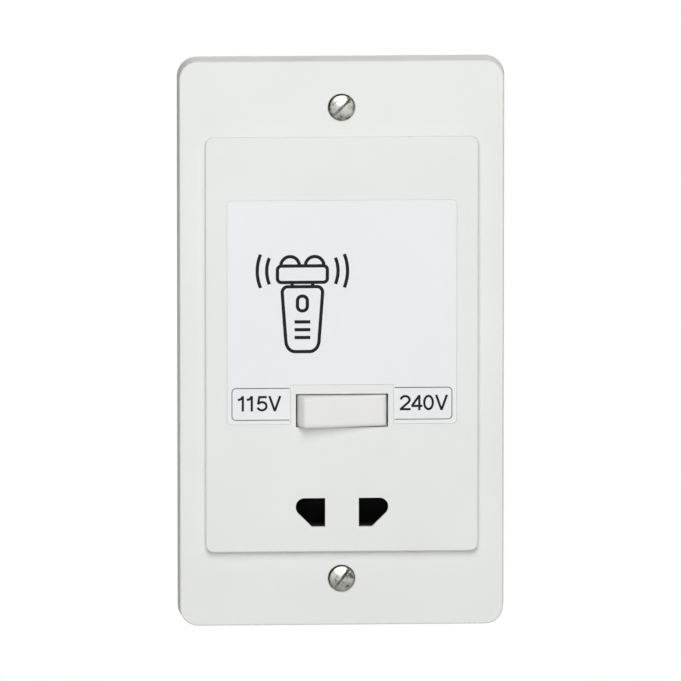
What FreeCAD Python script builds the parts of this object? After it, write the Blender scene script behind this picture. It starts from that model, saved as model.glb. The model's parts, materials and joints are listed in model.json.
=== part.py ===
import FreeCAD, Part
import math
import os
import re

import Sketcher

# A two-gang shaver socket with an isolating transformer and a rocker that selects the voltage.
# Millimetres. The wall is the plane y = 0, the front faces -Y, +Z is up,
# and the origin lies in the wall plane at the middle of the plate.

SIZES = {
    # Front plate: a hollow moulding with sloping sides
    "plate_width": 82.7,
    "plate_height": 145.2,
    "plate_depth": 6.5,
    "plate_wall": 2.5,
    "rim_wall": 2.2,
    "plate_draft": 4.0,
    "plate_corner": 5.0,
    "plate_bevel": 0.25,
    # Raised panel in the middle of the plate
    "panel_width": 68.9,
    "panel_height": 106.0,
    "panel_raise": 2.0,
    "panel_corner": 2.0,
    "panel_bevel": 0.25,
    # Label insert in its recess on the panel
    "label_width": 58.1,
    "label_top": 37.0,
    "label_bottom": -20.3,
    "label_thick": 0.8,
    "label_sink": 0.05,
    "label_gap": 0.04,
    "label_corner": 1.2,
    "bezel_side": 1.4,
    "bezel_top": 2.3,
    # Pin apertures
    "pin_inner": 4.25,
    "pin_width": 7.45,
    "pin_height": 7.4,
    "pin_level": -42.9,
    "pin_chamfer": 4.1,
    "pin_round": 2.2,
    "pin_web": 1.0,
    "pin_margin": 2.0,
    # Fixing screws
    "screw_pitch": 120.6,
    "screw_radius": 1.75,
    "screw_neck": 1.5,
    "screw_hole": 2.1,
    "screw_head": 3.45,
    "screw_rise": 0.8,
    "screw_crown": 2.2,
    "screw_sink": 0.25,
    "screw_lead": 0.8,
    "screw_reach": 24.0,
    "screw_slot": 0.9,
    "screw_slot_depth": 0.9,
    "screw_turn": 45.0,
    "head_gap": 0.15,
    "collar_radius": 5.0,
    "collar_lead": 1.0,
    # Rocker
    "rocker_level": -16.8,
    "rocker_length": 20.8,
    "rocker_height": 7.9,
    "rocker_gap": 0.35,
    "rocker_end_gap": 0.25,
    "rocker_tilt": 9.0,
    "rocker_pivot": 2.6,
    "rocker_proud": 2.1,
    "rocker_back": 1.5,
    "rocker_wall": 1.6,
    "rocker_edge": 0.6,
    "trunnion_radius": 1.3,
    "trunnion_length": 1.4,
    "trunnion_gap": 0.06,
    "stem_radius": 2.4,
    "stem_reach": 8.3,
    "plunger_radius": 1.4,
    "plunger_gap": 0.08,
    "plunger_reach": 10.5,
    "plunger_length": 5.0,
    "plunger_nose": 1.2,
    "plunger_tip": 0.4,
    "plunger_bore": 7.4,
    "plunger_wire": 0.3,
    "plunger_turns": 4,
    # Seesaw contact under the rocker and the three terminals in its well
    "seesaw_half": 9.6,
    "seesaw_width": 5.0,
    "seesaw_thick": 0.8,
    "seesaw_rise": 12.0,
    "seesaw_tilt": 8.0,
    "seesaw_gap": 0.25,
    "hub_radius": 1.2,
    "hub_gap": 0.06,
    "button_radius": 1.5,
    "button_thick": 0.8,
    "button_place": 8.0,
    "contact_gap": 0.12,
    "terminal_width": 4.6,
    "terminal_thick": 0.8,
    "cradle_half": 2.2,
    "cradle_drop": 0.6,
    "tag_width": 3.2,
    "tag_length": 5.0,
    "tag_gap": 0.1,
    # Chassis: a tray behind the plate, open to the back
    "chassis_wall": 2.0,
    "chassis_back": 26.0,
    "chassis_corner": 4.0,
    "core_margin": 4.0,
    "block_margin": 1.0,
    "foot_gap": 0.4,
    "deck_lead": 1.0,
    "deck_thick": 2.5,
    "well_margin": 1.8,
    "well_height": 8.0,
    "well_depth": 12.0,
    "well_wall": 1.5,
    # Tapping screws that hold the chassis and the transformer
    "post_radius": 3.2,
    "pilot_radius": 1.3,
    "pilot_depth": 5.0,
    "tapper_radius": 1.2,
    "tapper_hole": 1.6,
    "tapper_length": 8.5,
    "tapper_head": 2.6,
    "tapper_head_thick": 1.8,
    "tapper_chamfer": 0.8,
    "tapper_slot": 0.7,
    "tapper_room": 0.3,
    # Shutter behind the pin apertures
    "shutter_width": 26.4,
    "shutter_gap": 0.3,
    "shutter_side_gap": 0.4,
    "shutter_back": 3.2,
    "shutter_toe": 0.8,
    "shutter_cover": 0.6,
    "shutter_head": 2.6,
    "shutter_travel": 8.6,
    "shutter_ear": 2.8,
    "ear_drop": 7.0,
    "guide_wall": 1.5,
    "tongue_width": 6.0,
    "tongue_thick": 2.6,
    "cam_depth": 1.1,
    "spring_place": 9.0,
    "spring_radius": 1.6,
    "spring_wire": 0.35,
    "spring_turns": 5,
    "spring_length": 11.0,
    "spring_gap": 0.1,
    "spigot_radius": 1.2,
    "spigot_length": 1.0,
    # Contact block with one chamber for each pin
    "block_clear": 0.9,
    "block_wall": 1.5,
    "block_depth": 21.0,
    "ear_thick": 2.0,
    "strip_thick": 0.5,
    "strip_width": 5.0,
    "strip_bow": 3.2,
    "strip_gap": 0.1,
    "strip_lead": 2.4,
    # Switch that the shutter works
    "switch_width": 12.8,
    "switch_height": 6.0,
    "switch_depth": 6.5,
    "switch_lead": 1.3,
    "peg_radius": 1.0,
    "peg_gap": 0.1,
    "peg_place": 4.75,
    "push_radius": 1.0,
    "push_gap": 0.1,
    "push_depth": 2.0,
    "push_chamfer": 0.35,
    "cam_gap": 0.1,
    # Transformer
    "core_width": 48.0,
    "core_height": 40.0,
    "core_stack": 22.0,
    "core_leg": 16.0,
    "core_level": 26.0,
    "bobbin_wall": 1.0,
    "bobbin_gap": 0.15,
    "flange_thick": 1.2,
    "flange_reach": 7.3,
    "flange_gap": 0.4,
    "winding_sink": 0.6,
    "winding_corner": 3.0,
    "rail_width": 3.0,
    "rail_inset": 0.5,
    "strap_thick": 1.0,
    "strap_width": 7.0,
    "strap_gap": 0.1,
    "strap_foot": 6.0,
    "pillar_back": 17.0,
    "pillar_pilot": 9.0,
    "cutout_width": 11.0,
    "cutout_height": 5.0,
    "cutout_thick": 3.2,
    "cutout_corner": 1.2,
    "cutout_leg": 0.4,
    "lug_width": 1.4,
    "lug_thick": 0.6,
    "lug_length": 3.5,
    "lug_link": 4.5,
    "lug_near": 9.0,
    "lug_far": 13.0,
    # Mains terminals
    "mains_wall": 1.6,
    "mains_depth": 13.0,
    "mains_rise": 0.4,
    "mains_gap": 1.2,
    "cell_size": 5.4,
    "cell_floor": 2.0,
    "cell_gap": 0.1,
    "pillar_height": 8.0,
    "pillar_tag": 6.0,
    "cable_radius": 1.6,
    "clamp_radius": 1.5,
    "clamp_gap": 0.08,
    "clamp_length": 6.5,
    # Leads between the tags
    "lead_radius": 0.8,
}

# Planes and places that several pieces share, as formulas of the sizes
PANEL_Y = "-(plate_depth + panel_raise)"
INSIDE_Y = "(plate_wall - plate_depth)"
DECK_FRONT_Y = "-deck_lead"
DECK_BACK_Y = "(deck_thick - deck_lead)"
PIVOT_Y = "(rocker_pivot - plate_depth - panel_raise)"
FACE_REACH = "(rocker_pivot + rocker_proud)"
SWEEP = f"sqrt((rocker_length / 2)^2 + {FACE_REACH}^2)"
ROCKER_OPENING_HALF = f"({SWEEP} + rocker_end_gap)"
ROCKER_OPENING_RISE = "(rocker_height / 2 + rocker_gap)"
BEARING_REACH = "(rocker_height / 2 + trunnion_length + trunnion_gap)"

HUB_Y = f"({PIVOT_Y} + plunger_reach + seesaw_thick / 2 / cos(seesaw_rise) + seesaw_gap)"
BUTTON_FACE = "(button_thick + seesaw_thick / 2 - button_place * tan(seesaw_rise))"
TAP_Y = (f"({HUB_Y} + (button_place + button_radius) * sin(seesaw_tilt)"
         f" + {BUTTON_FACE} * cos(seesaw_tilt) + contact_gap)")
WELL_HALF = "(seesaw_half + terminal_thick + well_margin)"
WELL_FLOOR_Y = f"({DECK_BACK_Y} + well_depth - well_wall)"
TAG_END_Y = f"({DECK_BACK_Y} + well_depth + tag_length)"

PIN_TOP = "(pin_level + pin_height / 2)"
PIN_BOTTOM = "(pin_level - pin_height / 2)"
PIN_OUTER = "(pin_inner + pin_width)"
CHAMBER_OUTER = f"({PIN_OUTER} + block_clear)"
CHAMBER_BOTTOM = f"({PIN_BOTTOM} - block_clear)"
BLOCK_HALF = f"({CHAMBER_OUTER} + block_wall)"
BLOCK_TOP = f"({PIN_TOP} + block_clear + block_wall)"
BLOCK_BOTTOM = f"({CHAMBER_BOTTOM} - block_wall)"
BLOCK_BACK_Y = f"({DECK_BACK_Y} + block_depth)"
EAR_BACK_Y = f"({DECK_BACK_Y} + ear_thick)"
STRIP_X = f"({CHAMBER_OUTER} - strip_gap)"

SHUTTER_FRONT_Y = f"({INSIDE_Y} + shutter_gap)"
SHUTTER_TOP = f"({PIN_TOP} + shutter_head)"
SHUTTER_BOTTOM = f"({PIN_BOTTOM} - shutter_cover)"
SPRING_TOP = f"({SHUTTER_TOP} + spring_length)"
SPRING_Y = f"(({DECK_FRONT_Y} + {DECK_BACK_Y}) / 2)"
SWITCH_FRONT_Y = "(shutter_back + shutter_gap + switch_lead)"
SWITCH_LEVEL = f"({BLOCK_TOP} + switch_height / 2)"
CAM_SLOPE = "(cam_depth / shutter_travel)"
CAM_LOW = f"({SWITCH_LEVEL} - shutter_travel)"
TONGUE_TOP = f"({SWITCH_LEVEL} + push_radius + cam_gap)"

CHASSIS_TOP = "(core_level + core_height / 2 + core_margin + chassis_wall)"
CHASSIS_BOTTOM = f"({BLOCK_BOTTOM} - block_margin - chassis_wall)"
STRAP_INNER = "(core_width / 2 + strap_gap)"
FOOT_MIDDLE = f"({STRAP_INNER} + strap_thick + strap_foot / 2)"
CHASSIS_HALF = f"({STRAP_INNER} + strap_thick + strap_foot + foot_gap + chassis_wall)"
SCREW_ROOM = "(tapper_head + tapper_room)"
CHASSIS_SCREW_X = f"({BLOCK_HALF} + {SCREW_ROOM})"
CHASSIS_SCREW_TOP = f"({CHASSIS_TOP} - chassis_wall - {SCREW_ROOM})"
CHASSIS_SCREW_LOW = f"({CHASSIS_BOTTOM} + chassis_wall + {SCREW_ROOM})"
CHASSIS_SCREWS = [(side + CHASSIS_SCREW_X, level)
                  for level in (CHASSIS_SCREW_TOP, CHASSIS_SCREW_LOW) for side in ("-", "")]

WINDOW_WIDTH = "(core_width / 2 - core_leg)"
CORE_FRONT_Y = f"({DECK_BACK_Y} + flange_gap + flange_reach)"
CORE_MIDDLE_Y = f"({CORE_FRONT_Y} + core_stack / 2)"
CORE_BACK_Y = f"({CORE_FRONT_Y} + core_stack)"
BOBBIN_HEIGHT = "(core_height - core_leg - 2 * bobbin_gap)"
YOKE_MIDDLE = "(core_height / 2 - core_leg / 4)"
STRAP_FEET = [(side + FOOT_MIDDLE, f"core_level {sign} {YOKE_MIDDLE}")
              for sign in ("+", "-") for side in ("-", "")]
WINDING_HEIGHT = f"(({BOBBIN_HEIGHT} - 3 * flange_thick) / 2)"

MAINS_INNER = f"({BLOCK_HALF} + mains_gap)"
CELL_PITCH = "(cell_size + mains_wall)"
MAINS_WIDTH = "(cell_size + 4 * mains_wall)"
MAINS_X = f"({MAINS_INNER} + {MAINS_WIDTH} / 2)"
MAINS_BOTTOM = f"({CHASSIS_SCREW_LOW} + {SCREW_ROOM} + mains_rise)"
MAINS_HEIGHT = f"(3 * {CELL_PITCH} + mains_wall)"
CELL_LEVELS = [f"({MAINS_BOTTOM} + mains_wall + cell_size / 2 + {step} * {CELL_PITCH})" for step in range(3)]
MAINS_PEGS = [f"({MAINS_BOTTOM} + {MAINS_HEIGHT} / 2 {sign} {CELL_PITCH})" for sign in "-+"]
CELL_FLOOR_Y = f"({DECK_BACK_Y} + cell_floor)"

doc = FreeCAD.newDocument("ShaverSocket")
sheet = doc.addObject("Spreadsheet::Sheet", "Sizes")
for row, (word, number) in enumerate(SIZES.items(), start=1):
    sheet.set(f"A{row}", word)
    sheet.set(f"B{row}", str(number))
    sheet.setAlias(f"B{row}", word)
doc.recompute()

NODES = []


def formula(text):
    """The text with every size's name turned into its cell in the sheet."""
    return re.sub(r"[a-z_]+", lambda word: f"Sizes.{word[0]}" if word[0] in SIZES else word[0], text)


def bind(thing, **properties):
    """Bind properties to formulas; a double underscore in a name stands for a dot."""
    for name, text in properties.items():
        thing.setExpression(name.replace("__", "."), formula(text))


def place(thing, x="0", y="0", z="0"):
    bind(thing, Placement__Base__x=x, Placement__Base__y=y, Placement__Base__z=z)


def node(thing, label):
    """Name the finished sub-part; the label also names its file."""
    thing.Label = label
    NODES.append(thing)
    return thing


def origin_plane(owner, role):
    return [feature for feature in owner.Origin.OriginFeatures if feature.Role == role][0]


def sketch(owner, role, along="0"):
    """A sketch parallel to an origin plane, moved along the plane's own axis."""
    drawing = owner.newObject("Sketcher::SketchObject", "Sketch")
    drawing.AttachmentSupport = [(origin_plane(owner, role), "")]
    drawing.MapMode = "FlatFace"
    sign = "-1" if role == "XZ_Plane" else "1"
    bind(drawing, AttachmentOffset__Base__z=f"{sign} * ({along})")
    return drawing


def measure(text):
    """The value of a formula, at which a sketch starts before it is solved."""
    numbers = re.sub(r"[a-z_]+", lambda word: str(SIZES.get(word[0], word[0])), text)
    return FreeCAD.Units.Quantity(numbers).Value


def hold(drawing, kind, first, first_point, second, second_point, text):
    """One constraint whose value is a formula."""
    start = measure(text)
    drawing.addConstraint(Sketcher.Constraint(kind, first, first_point, second, second_point, start))
    drawing.setExpression(f"Constraints[{drawing.ConstraintCount - 1}]", formula(text))


def fix_point(drawing, geometry, point, across, up):
    hold(drawing, "DistanceX", -1, 1, geometry, point, across)
    hold(drawing, "DistanceY", -1, 1, geometry, point, up)


def polygon(drawing, corners):
    """A closed outline with straight sides; each corner is a pair of formulas."""
    first = drawing.GeometryCount
    count = len(corners)
    turns = [2 * math.pi * index / count for index in range(count)]
    ring = [FreeCAD.Vector(math.cos(turn), math.sin(turn), 0) for turn in turns]
    for index in range(count):
        drawing.addGeometry(Part.LineSegment(ring[index], ring[(index + 1) % count]), False)
    for index in range(count):
        follower = first + (index + 1) % count
        drawing.addConstraint(Sketcher.Constraint("Coincident", first + index, 2, follower, 1))
    for index, (across, up) in enumerate(corners):
        fix_point(drawing, first + index, 1, across, up)


def rectangle(drawing, left, right, low, high):
    polygon(drawing, [(left, low), (right, low), (right, high), (left, high)])


def centred_rectangle(drawing, width, height, up="0"):
    rectangle(drawing, f"-({width}) / 2", f"({width}) / 2",
              f"({up}) - ({height}) / 2", f"({up}) + ({height}) / 2")


def rounded_rectangle(drawing, width, height, corner, up="0"):
    """A centred rectangle with round corners: four arcs joined by tangent lines."""
    first = drawing.GeometryCount
    radius = measure(corner)
    reach = measure(f"({width}) / 2") - radius
    rise = measure(f"({height}) / 2") - radius
    middle = measure(up)
    signs = [(1, 1), (-1, 1), (-1, -1), (1, -1)]
    for quarter, (right, above) in enumerate(signs):
        centre = FreeCAD.Vector(right * reach, middle + above * rise, 0)
        arc = Part.Circle(centre, FreeCAD.Vector(0, 0, 1), radius)
        start = quarter * math.pi / 2
        drawing.addGeometry(Part.ArcOfCircle(arc, start, start + math.pi / 2), False)
    for quarter in range(4):
        after = (quarter + 1) % 4
        ends = drawing.Geometry[first + quarter].EndPoint, drawing.Geometry[first + after].StartPoint
        side = drawing.addGeometry(Part.LineSegment(*ends), False)
        drawing.addConstraint(Sketcher.Constraint("Tangent", first + quarter, 2, side, 1))
        drawing.addConstraint(Sketcher.Constraint("Tangent", side, 2, first + after, 1))
    for quarter, (right, above) in enumerate(signs):
        drawing.addConstraint(Sketcher.Constraint("Radius", first + quarter, radius))
        drawing.setExpression(f"Constraints[{drawing.ConstraintCount - 1}]", formula(corner))
        fix_point(drawing, first + quarter, 3, f"{right} * (({width}) / 2 - ({corner}))",
                  f"({up}) + {above} * (({height}) / 2 - ({corner}))")


START_RADIUS = 1.0


def circle(drawing, radius, across="0", up="0"):
    start = Part.Circle(FreeCAD.Vector(1, 1, 0), FreeCAD.Vector(0, 0, 1), START_RADIUS)
    ring = drawing.addGeometry(start, False)
    drawing.addConstraint(Sketcher.Constraint("Radius", ring, START_RADIUS))
    drawing.setExpression(f"Constraints[{drawing.ConstraintCount - 1}]", formula(radius))
    fix_point(drawing, ring, 3, across, up)


def new_body(name):
    return doc.addObject("PartDesign::Body", name)


def pad(owner, drawing, length, reverse=False, both=False, taper=None):
    feature = owner.newObject("PartDesign::Pad", "Pad")
    feature.Profile = drawing
    feature.Reversed = reverse
    feature.Midplane = both
    bind(feature, Length=length)
    if taper:
        bind(feature, TaperAngle=taper)
    doc.recompute()
    return feature


def pocket(owner, drawing, length=None, reverse=False, both=False):
    """A cut to a depth, or right through where no depth is given."""
    feature = owner.newObject("PartDesign::Pocket", "Pocket")
    feature.Profile = drawing
    feature.Reversed = reverse
    feature.Midplane = both
    if length:
        bind(feature, Length=length)
    else:
        feature.Type = "ThroughAll"
    doc.recompute()
    return feature


def turned(owner, drawing, cut=False):
    """A revolved solid or cut about the horizontal axis of its sketch."""
    feature = owner.newObject("PartDesign::Groove" if cut else "PartDesign::Revolution", "Turned")
    feature.Profile = drawing
    feature.ReferenceAxis = (drawing, ["H_Axis"])
    doc.recompute()
    return feature


def mirrored(owner, features, role):
    feature = owner.newObject("PartDesign::Mirrored", "Mirrored")
    feature.Originals = features
    feature.MirrorPlane = (origin_plane(owner, role), [""])
    owner.Tip = feature
    doc.recompute()
    return feature


def dress_edges(owner, kind, wanted):
    """A feature on the edges of a body that the test picks out."""
    base = owner.Tip
    names = [f"Edge{number}" for number, edge in enumerate(base.Shape.Edges, start=1) if wanted(edge)]
    feature = owner.newObject(kind, "Edges")
    feature.Base = (base, names)
    return feature


def soften(owner, radius, wanted):
    bind(dress_edges(owner, "PartDesign::Fillet", wanted), Radius=radius)
    doc.recompute()


def bevel(owner, size, wanted):
    bind(dress_edges(owner, "PartDesign::Chamfer", wanted), Size=size)
    doc.recompute()


SAME_PLACE = 0.01


def near(first, second):
    return abs(first - second) < SAME_PLACE


def in_front(owner):
    """A test for the edges that lie in the front plane of a body."""
    front = min(point.Y for point in owner.Tip.Shape.Vertexes)
    return lambda edge: all(near(point.Y, front) for point in edge.Vertexes)


def front_face(feature):
    """The name of the foremost face of a feature."""
    depths = [face.CenterOfMass.y for face in feature.Shape.Faces]
    return f"Face{depths.index(min(depths)) + 1}"


def upright_at(x):
    """A test for the edges that run from front to back at a distance from the middle."""
    def wanted(edge):
        box = edge.BoundBox
        in_depth = box.YLength > 2 * max(box.XLength, box.ZLength)
        return in_depth and near(abs(box.XMin), x)
    return wanted


def copies(label, piece, places):
    """One node that holds a copy of the piece at each place."""
    links = []
    for x, y, z in places:
        link = doc.addObject("App::Link", "Copy")
        link.LinkedObject = piece
        place(link, x, y, z)
        links.append(link)
    group = doc.addObject("Part::Compound", "Group")
    group.Links = links
    doc.recompute()
    return node(group, label)


def make_front_plate():
    plate = new_body("FrontPlate")

    base = sketch(plate, "XZ_Plane")
    rounded_rectangle(base, "plate_width", "plate_height", "plate_corner")
    sides = pad(plate, base, "plate_depth - plate_bevel * cos(plate_draft)", taper="-plate_draft")
    pad(plate, (sides, front_face(sides)), "plate_bevel * cos(plate_draft)", taper="-45 - plate_draft / 2")

    panel = sketch(plate, "XZ_Plane", "-plate_depth")
    rounded_rectangle(panel, "panel_width", "panel_height", "panel_corner")
    pad(plate, panel, "panel_raise")
    bevel(plate, "panel_bevel", in_front(plate))

    hollow = sketch(plate, "XZ_Plane")
    rounded_rectangle(hollow, "plate_width - 2 * rim_wall", "plate_height - 2 * rim_wall",
                      "plate_corner - rim_wall")
    pocket(plate, hollow, "plate_depth - plate_wall", reverse=True)

    recess = sketch(plate, "XZ_Plane", PANEL_Y)
    polygon(recess, label_outline("0"))
    pocket(plate, recess, "label_thick + label_sink")
    edge_x = sheet.label_width / 2
    soften(plate, "label_corner", upright_at(edge_x))

    rocker_opening = sketch(plate, "XZ_Plane", PANEL_Y)
    centred_rectangle(rocker_opening, f"2 * {ROCKER_OPENING_HALF}", f"2 * {ROCKER_OPENING_RISE}",
                      "rocker_level")
    pocket(plate, rocker_opening)

    # Bearings for the rocker's trunnions, open to the back
    bearing = sketch(plate, "XY_Plane", "rocker_level")
    circle(bearing, "trunnion_radius + trunnion_gap", "0", PIVOT_Y)
    pocket(plate, bearing, f"2 * {BEARING_REACH}", both=True)
    mouth = sketch(plate, "XY_Plane", "rocker_level")
    mouth_half = "(trunnion_radius + trunnion_gap)"
    rectangle(mouth, f"-{mouth_half}", mouth_half, PIVOT_Y, INSIDE_Y)
    pocket(plate, mouth, f"2 * {BEARING_REACH}", both=True)

    pins = sketch(plate, "XZ_Plane", PANEL_Y)
    polygon(pins, pin_outline())
    polygon(pins, [(f"-({across})", up) for across, up in pin_outline()])
    pocket(plate, pins)
    outer_x = sheet.pin_inner + sheet.pin_width
    soften(plate, "pin_round", upright_at(outer_x))

    # The wall is thin round the apertures
    web = sketch(plate, "XZ_Plane", INSIDE_Y)
    web_half = f"({PIN_OUTER} + pin_margin)"
    rectangle(web, f"-{web_half}", web_half, f"{PIN_BOTTOM} - pin_margin", f"{PIN_TOP} + pin_margin")
    pocket(plate, web, f"{INSIDE_Y} - {PANEL_Y} - pin_web", reverse=True)

    collars = sketch(plate, "XZ_Plane", INSIDE_Y)
    circle(collars, "collar_radius", up="screw_pitch / 2")
    circle(collars, "collar_radius", up="-screw_pitch / 2")
    pad(plate, collars, f"-collar_lead - {INSIDE_Y}", reverse=True)

    posts = sketch(plate, "XZ_Plane", INSIDE_Y)
    for across, up in CHASSIS_SCREWS:
        circle(posts, "post_radius", across, up)
    pad(plate, posts, f"{DECK_FRONT_Y} - {INSIDE_Y}", reverse=True)
    pilots = sketch(plate, "XZ_Plane", DECK_FRONT_Y)
    for across, up in CHASSIS_SCREWS:
        circle(pilots, "pilot_radius", across, up)
    pocket(plate, pilots, "pilot_depth", reverse=True)

    # Countersunk hole for a fixing screw, the same at both ends
    seat = sketch(plate, "YZ_Plane")
    bind(seat, AttachmentOffset__Base__y="screw_pitch / 2")
    polygon(seat, screw_seat_outline())
    hole = turned(plate, seat, cut=True)
    mirrored(plate, [hole], "XY_Plane")
    return node(plate, "front_plate")


def label_outline(gap):
    """The label's outline, drawn in by a gap, with a notch that goes round the rocker."""
    half = f"(label_width / 2 - {gap})"
    notch = f"({ROCKER_OPENING_HALF} + bezel_side + {gap})"
    notch_top = f"(rocker_level + {ROCKER_OPENING_RISE} + bezel_top + {gap})"
    top = f"label_top - {gap}"
    bottom = f"label_bottom + {gap}"
    return [(f"-{half}", top), (f"-{half}", bottom), (f"-{notch}", bottom), (f"-{notch}", notch_top),
            (notch, notch_top), (notch, bottom), (half, bottom), (half, top)]


def pin_outline():
    """A pin aperture: upright inner side, one lower corner cut off at a slant."""
    return [("pin_inner", PIN_TOP), (PIN_OUTER, PIN_TOP), (PIN_OUTER, f"{PIN_BOTTOM} + pin_chamfer"),
            (f"{PIN_OUTER} - pin_chamfer", PIN_BOTTOM), ("pin_inner", PIN_BOTTOM)]


def screw_seat_outline():
    """Half section of a fixing screw's hole, from the field of the plate to its collar."""
    wide = "(screw_head + head_gap)"
    step = "(screw_sink - plate_depth)"
    front = f"{PANEL_Y} - screw_rise"
    return [(front, "0"), (front, wide), (step, wide),
            (f"{step} + {wide} - screw_hole", "screw_hole"), ("0", "screw_hole"), ("0", "0")]


def make_label():
    label = new_body("Label")
    outline = sketch(label, "XZ_Plane", f"{PANEL_Y} + label_sink + label_thick")
    polygon(outline, label_outline("label_gap"))
    pad(label, outline, "label_thick")
    edge_x = sheet.label_width / 2 - sheet.label_gap
    soften(label, "label_corner - label_gap", upright_at(edge_x))
    return node(label, "label_insert")


def make_fixing_screws():
    """Slotted screws with a raised countersunk head."""
    screw = new_body("FixingScrew")
    section = sketch(screw, "YZ_Plane")
    rim = "(screw_sink - plate_depth)"
    polygon(section, [
        (f"{rim} - screw_rise", "0"), (f"{rim} - screw_rise", "screw_crown"), (rim, "screw_head"),
        (f"{rim} + screw_head - screw_neck", "screw_neck"), ("-screw_lead", "screw_neck"),
        ("-screw_lead", "screw_radius"), ("screw_reach - screw_radius", "screw_radius"),
        ("screw_reach", "screw_radius / 2"), ("screw_reach", "0")])
    turned(screw, section)
    slot = sketch(screw, "XZ_Plane", f"{rim} - screw_rise")
    centred_rectangle(slot, "4 * screw_head", "screw_slot")
    bind(slot, AttachmentOffset__Rotation__Angle="screw_turn")
    pocket(screw, slot, "screw_slot_depth")
    return copies("fixing_screws", screw, [("0", "0", "screw_pitch / 2"), ("0", "0", "-screw_pitch / 2")])


def at_rocker(thing):
    """Put a piece on the rocker's pivot, tilted as the rocker is at rest."""
    place(thing, "0", PIVOT_Y, "rocker_level")
    bind(thing, Placement__Rotation__Angle="rocker_tilt")


def make_rocker():
    rocker = new_body("Rocker")
    far = f"(2 * {SWEEP})"
    disc = sketch(rocker, "XY_Plane")
    circle(disc, SWEEP)
    pad(rocker, disc, "rocker_height", both=True)
    flats = sketch(rocker, "XY_Plane")
    rectangle(flats, f"-{far}", far, f"-{far}", f"-{FACE_REACH}")
    rectangle(flats, f"-{far}", far, "rocker_back", far)
    pocket(rocker, flats, both=True)
    soften(rocker, "rocker_edge", in_front(rocker))

    # The underside is hollow on both sides of the stem
    hollow = sketch(rocker, "XZ_Plane", "rocker_back")
    inner = "(stem_radius + rocker_wall)"
    outer = "(rocker_length / 2 - rocker_wall)"
    rise = "(rocker_height / 2 - rocker_wall)"
    rectangle(hollow, inner, outer, f"-{rise}", rise)
    rectangle(hollow, f"-{outer}", f"-{inner}", f"-{rise}", rise)
    pocket(rocker, hollow, f"rocker_back + {FACE_REACH} - rocker_wall", reverse=True)

    trunnions = sketch(rocker, "XY_Plane")
    circle(trunnions, "trunnion_radius")
    pad(rocker, trunnions, "rocker_height + 2 * trunnion_length", both=True)
    stem = sketch(rocker, "XZ_Plane", "rocker_back")
    circle(stem, "stem_radius")
    pad(rocker, stem, "stem_reach - rocker_back", reverse=True)
    bore = sketch(rocker, "XZ_Plane", "stem_reach")
    circle(bore, "plunger_radius + plunger_gap")
    pocket(rocker, bore, "plunger_bore", reverse=True)
    at_rocker(rocker)
    return node(rocker, "voltage_rocker")


def make_plunger():
    plunger = new_body("Plunger")
    section = sketch(plunger, "YZ_Plane")
    foot = "plunger_reach - plunger_length"
    polygon(section, [(foot, "0"), (foot, "plunger_radius"),
                      ("plunger_reach - plunger_nose", "plunger_radius"),
                      ("plunger_reach", "plunger_tip"), ("plunger_reach", "0")])
    turned(plunger, section)
    at_rocker(plunger)
    return node(plunger, "rocker_plunger")


COIL_SIDES = 10
WIRE_SIDES = 5


def coil(radius, wire, length, turns):
    """A compression spring along +Z: a many-sided wire wound in short straight runs."""
    steps = int(round(turns * COIL_SIDES))
    path = []
    for step in range(steps + 1):
        turn = 2 * math.pi * step / COIL_SIDES
        height = wire / 2 + (length - wire) * step / steps
        path.append(FreeCAD.Vector(radius * math.cos(turn), radius * math.sin(turn), height))
    along = path[1] - path[0]
    outward = along.cross(FreeCAD.Vector(0, 0, 1)).normalize()
    upward = outward.cross(along).normalize()
    ring = []
    for side in range(WIRE_SIDES + 1):
        turn = 2 * math.pi * side / WIRE_SIDES
        ring.append(path[0] + (outward * math.cos(turn) + upward * math.sin(turn)) * (wire / 2))
    mitred = 1
    return Part.makePolygon(path).makePipeShell([Part.makePolygon(ring)], True, False, mitred)


def make_plunger_spring():
    """The spring in the rocker's stem, between the bottom of the bore and the plunger."""
    bottom = sheet.stem_reach - sheet.plunger_bore
    length = sheet.plunger_reach - sheet.plunger_length - bottom
    radius = sheet.plunger_radius - sheet.plunger_wire
    spring = doc.addObject("Part::Feature", "PlungerSpring")
    spring.Shape = coil(radius, sheet.plunger_wire, length, sheet.plunger_turns)
    lying = FreeCAD.Placement(FreeCAD.Vector(0, bottom, 0), FreeCAD.Rotation(FreeCAD.Vector(1, 0, 0), -90))
    pivot_y = sheet.rocker_pivot - sheet.plate_depth - sheet.panel_raise
    tilted = FreeCAD.Placement(FreeCAD.Vector(0, pivot_y, sheet.rocker_level),
                               FreeCAD.Rotation(FreeCAD.Vector(0, 0, 1), sheet.rocker_tilt))
    spring.Placement = tilted.multiply(lying)
    return node(spring, "plunger_spring")


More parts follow.
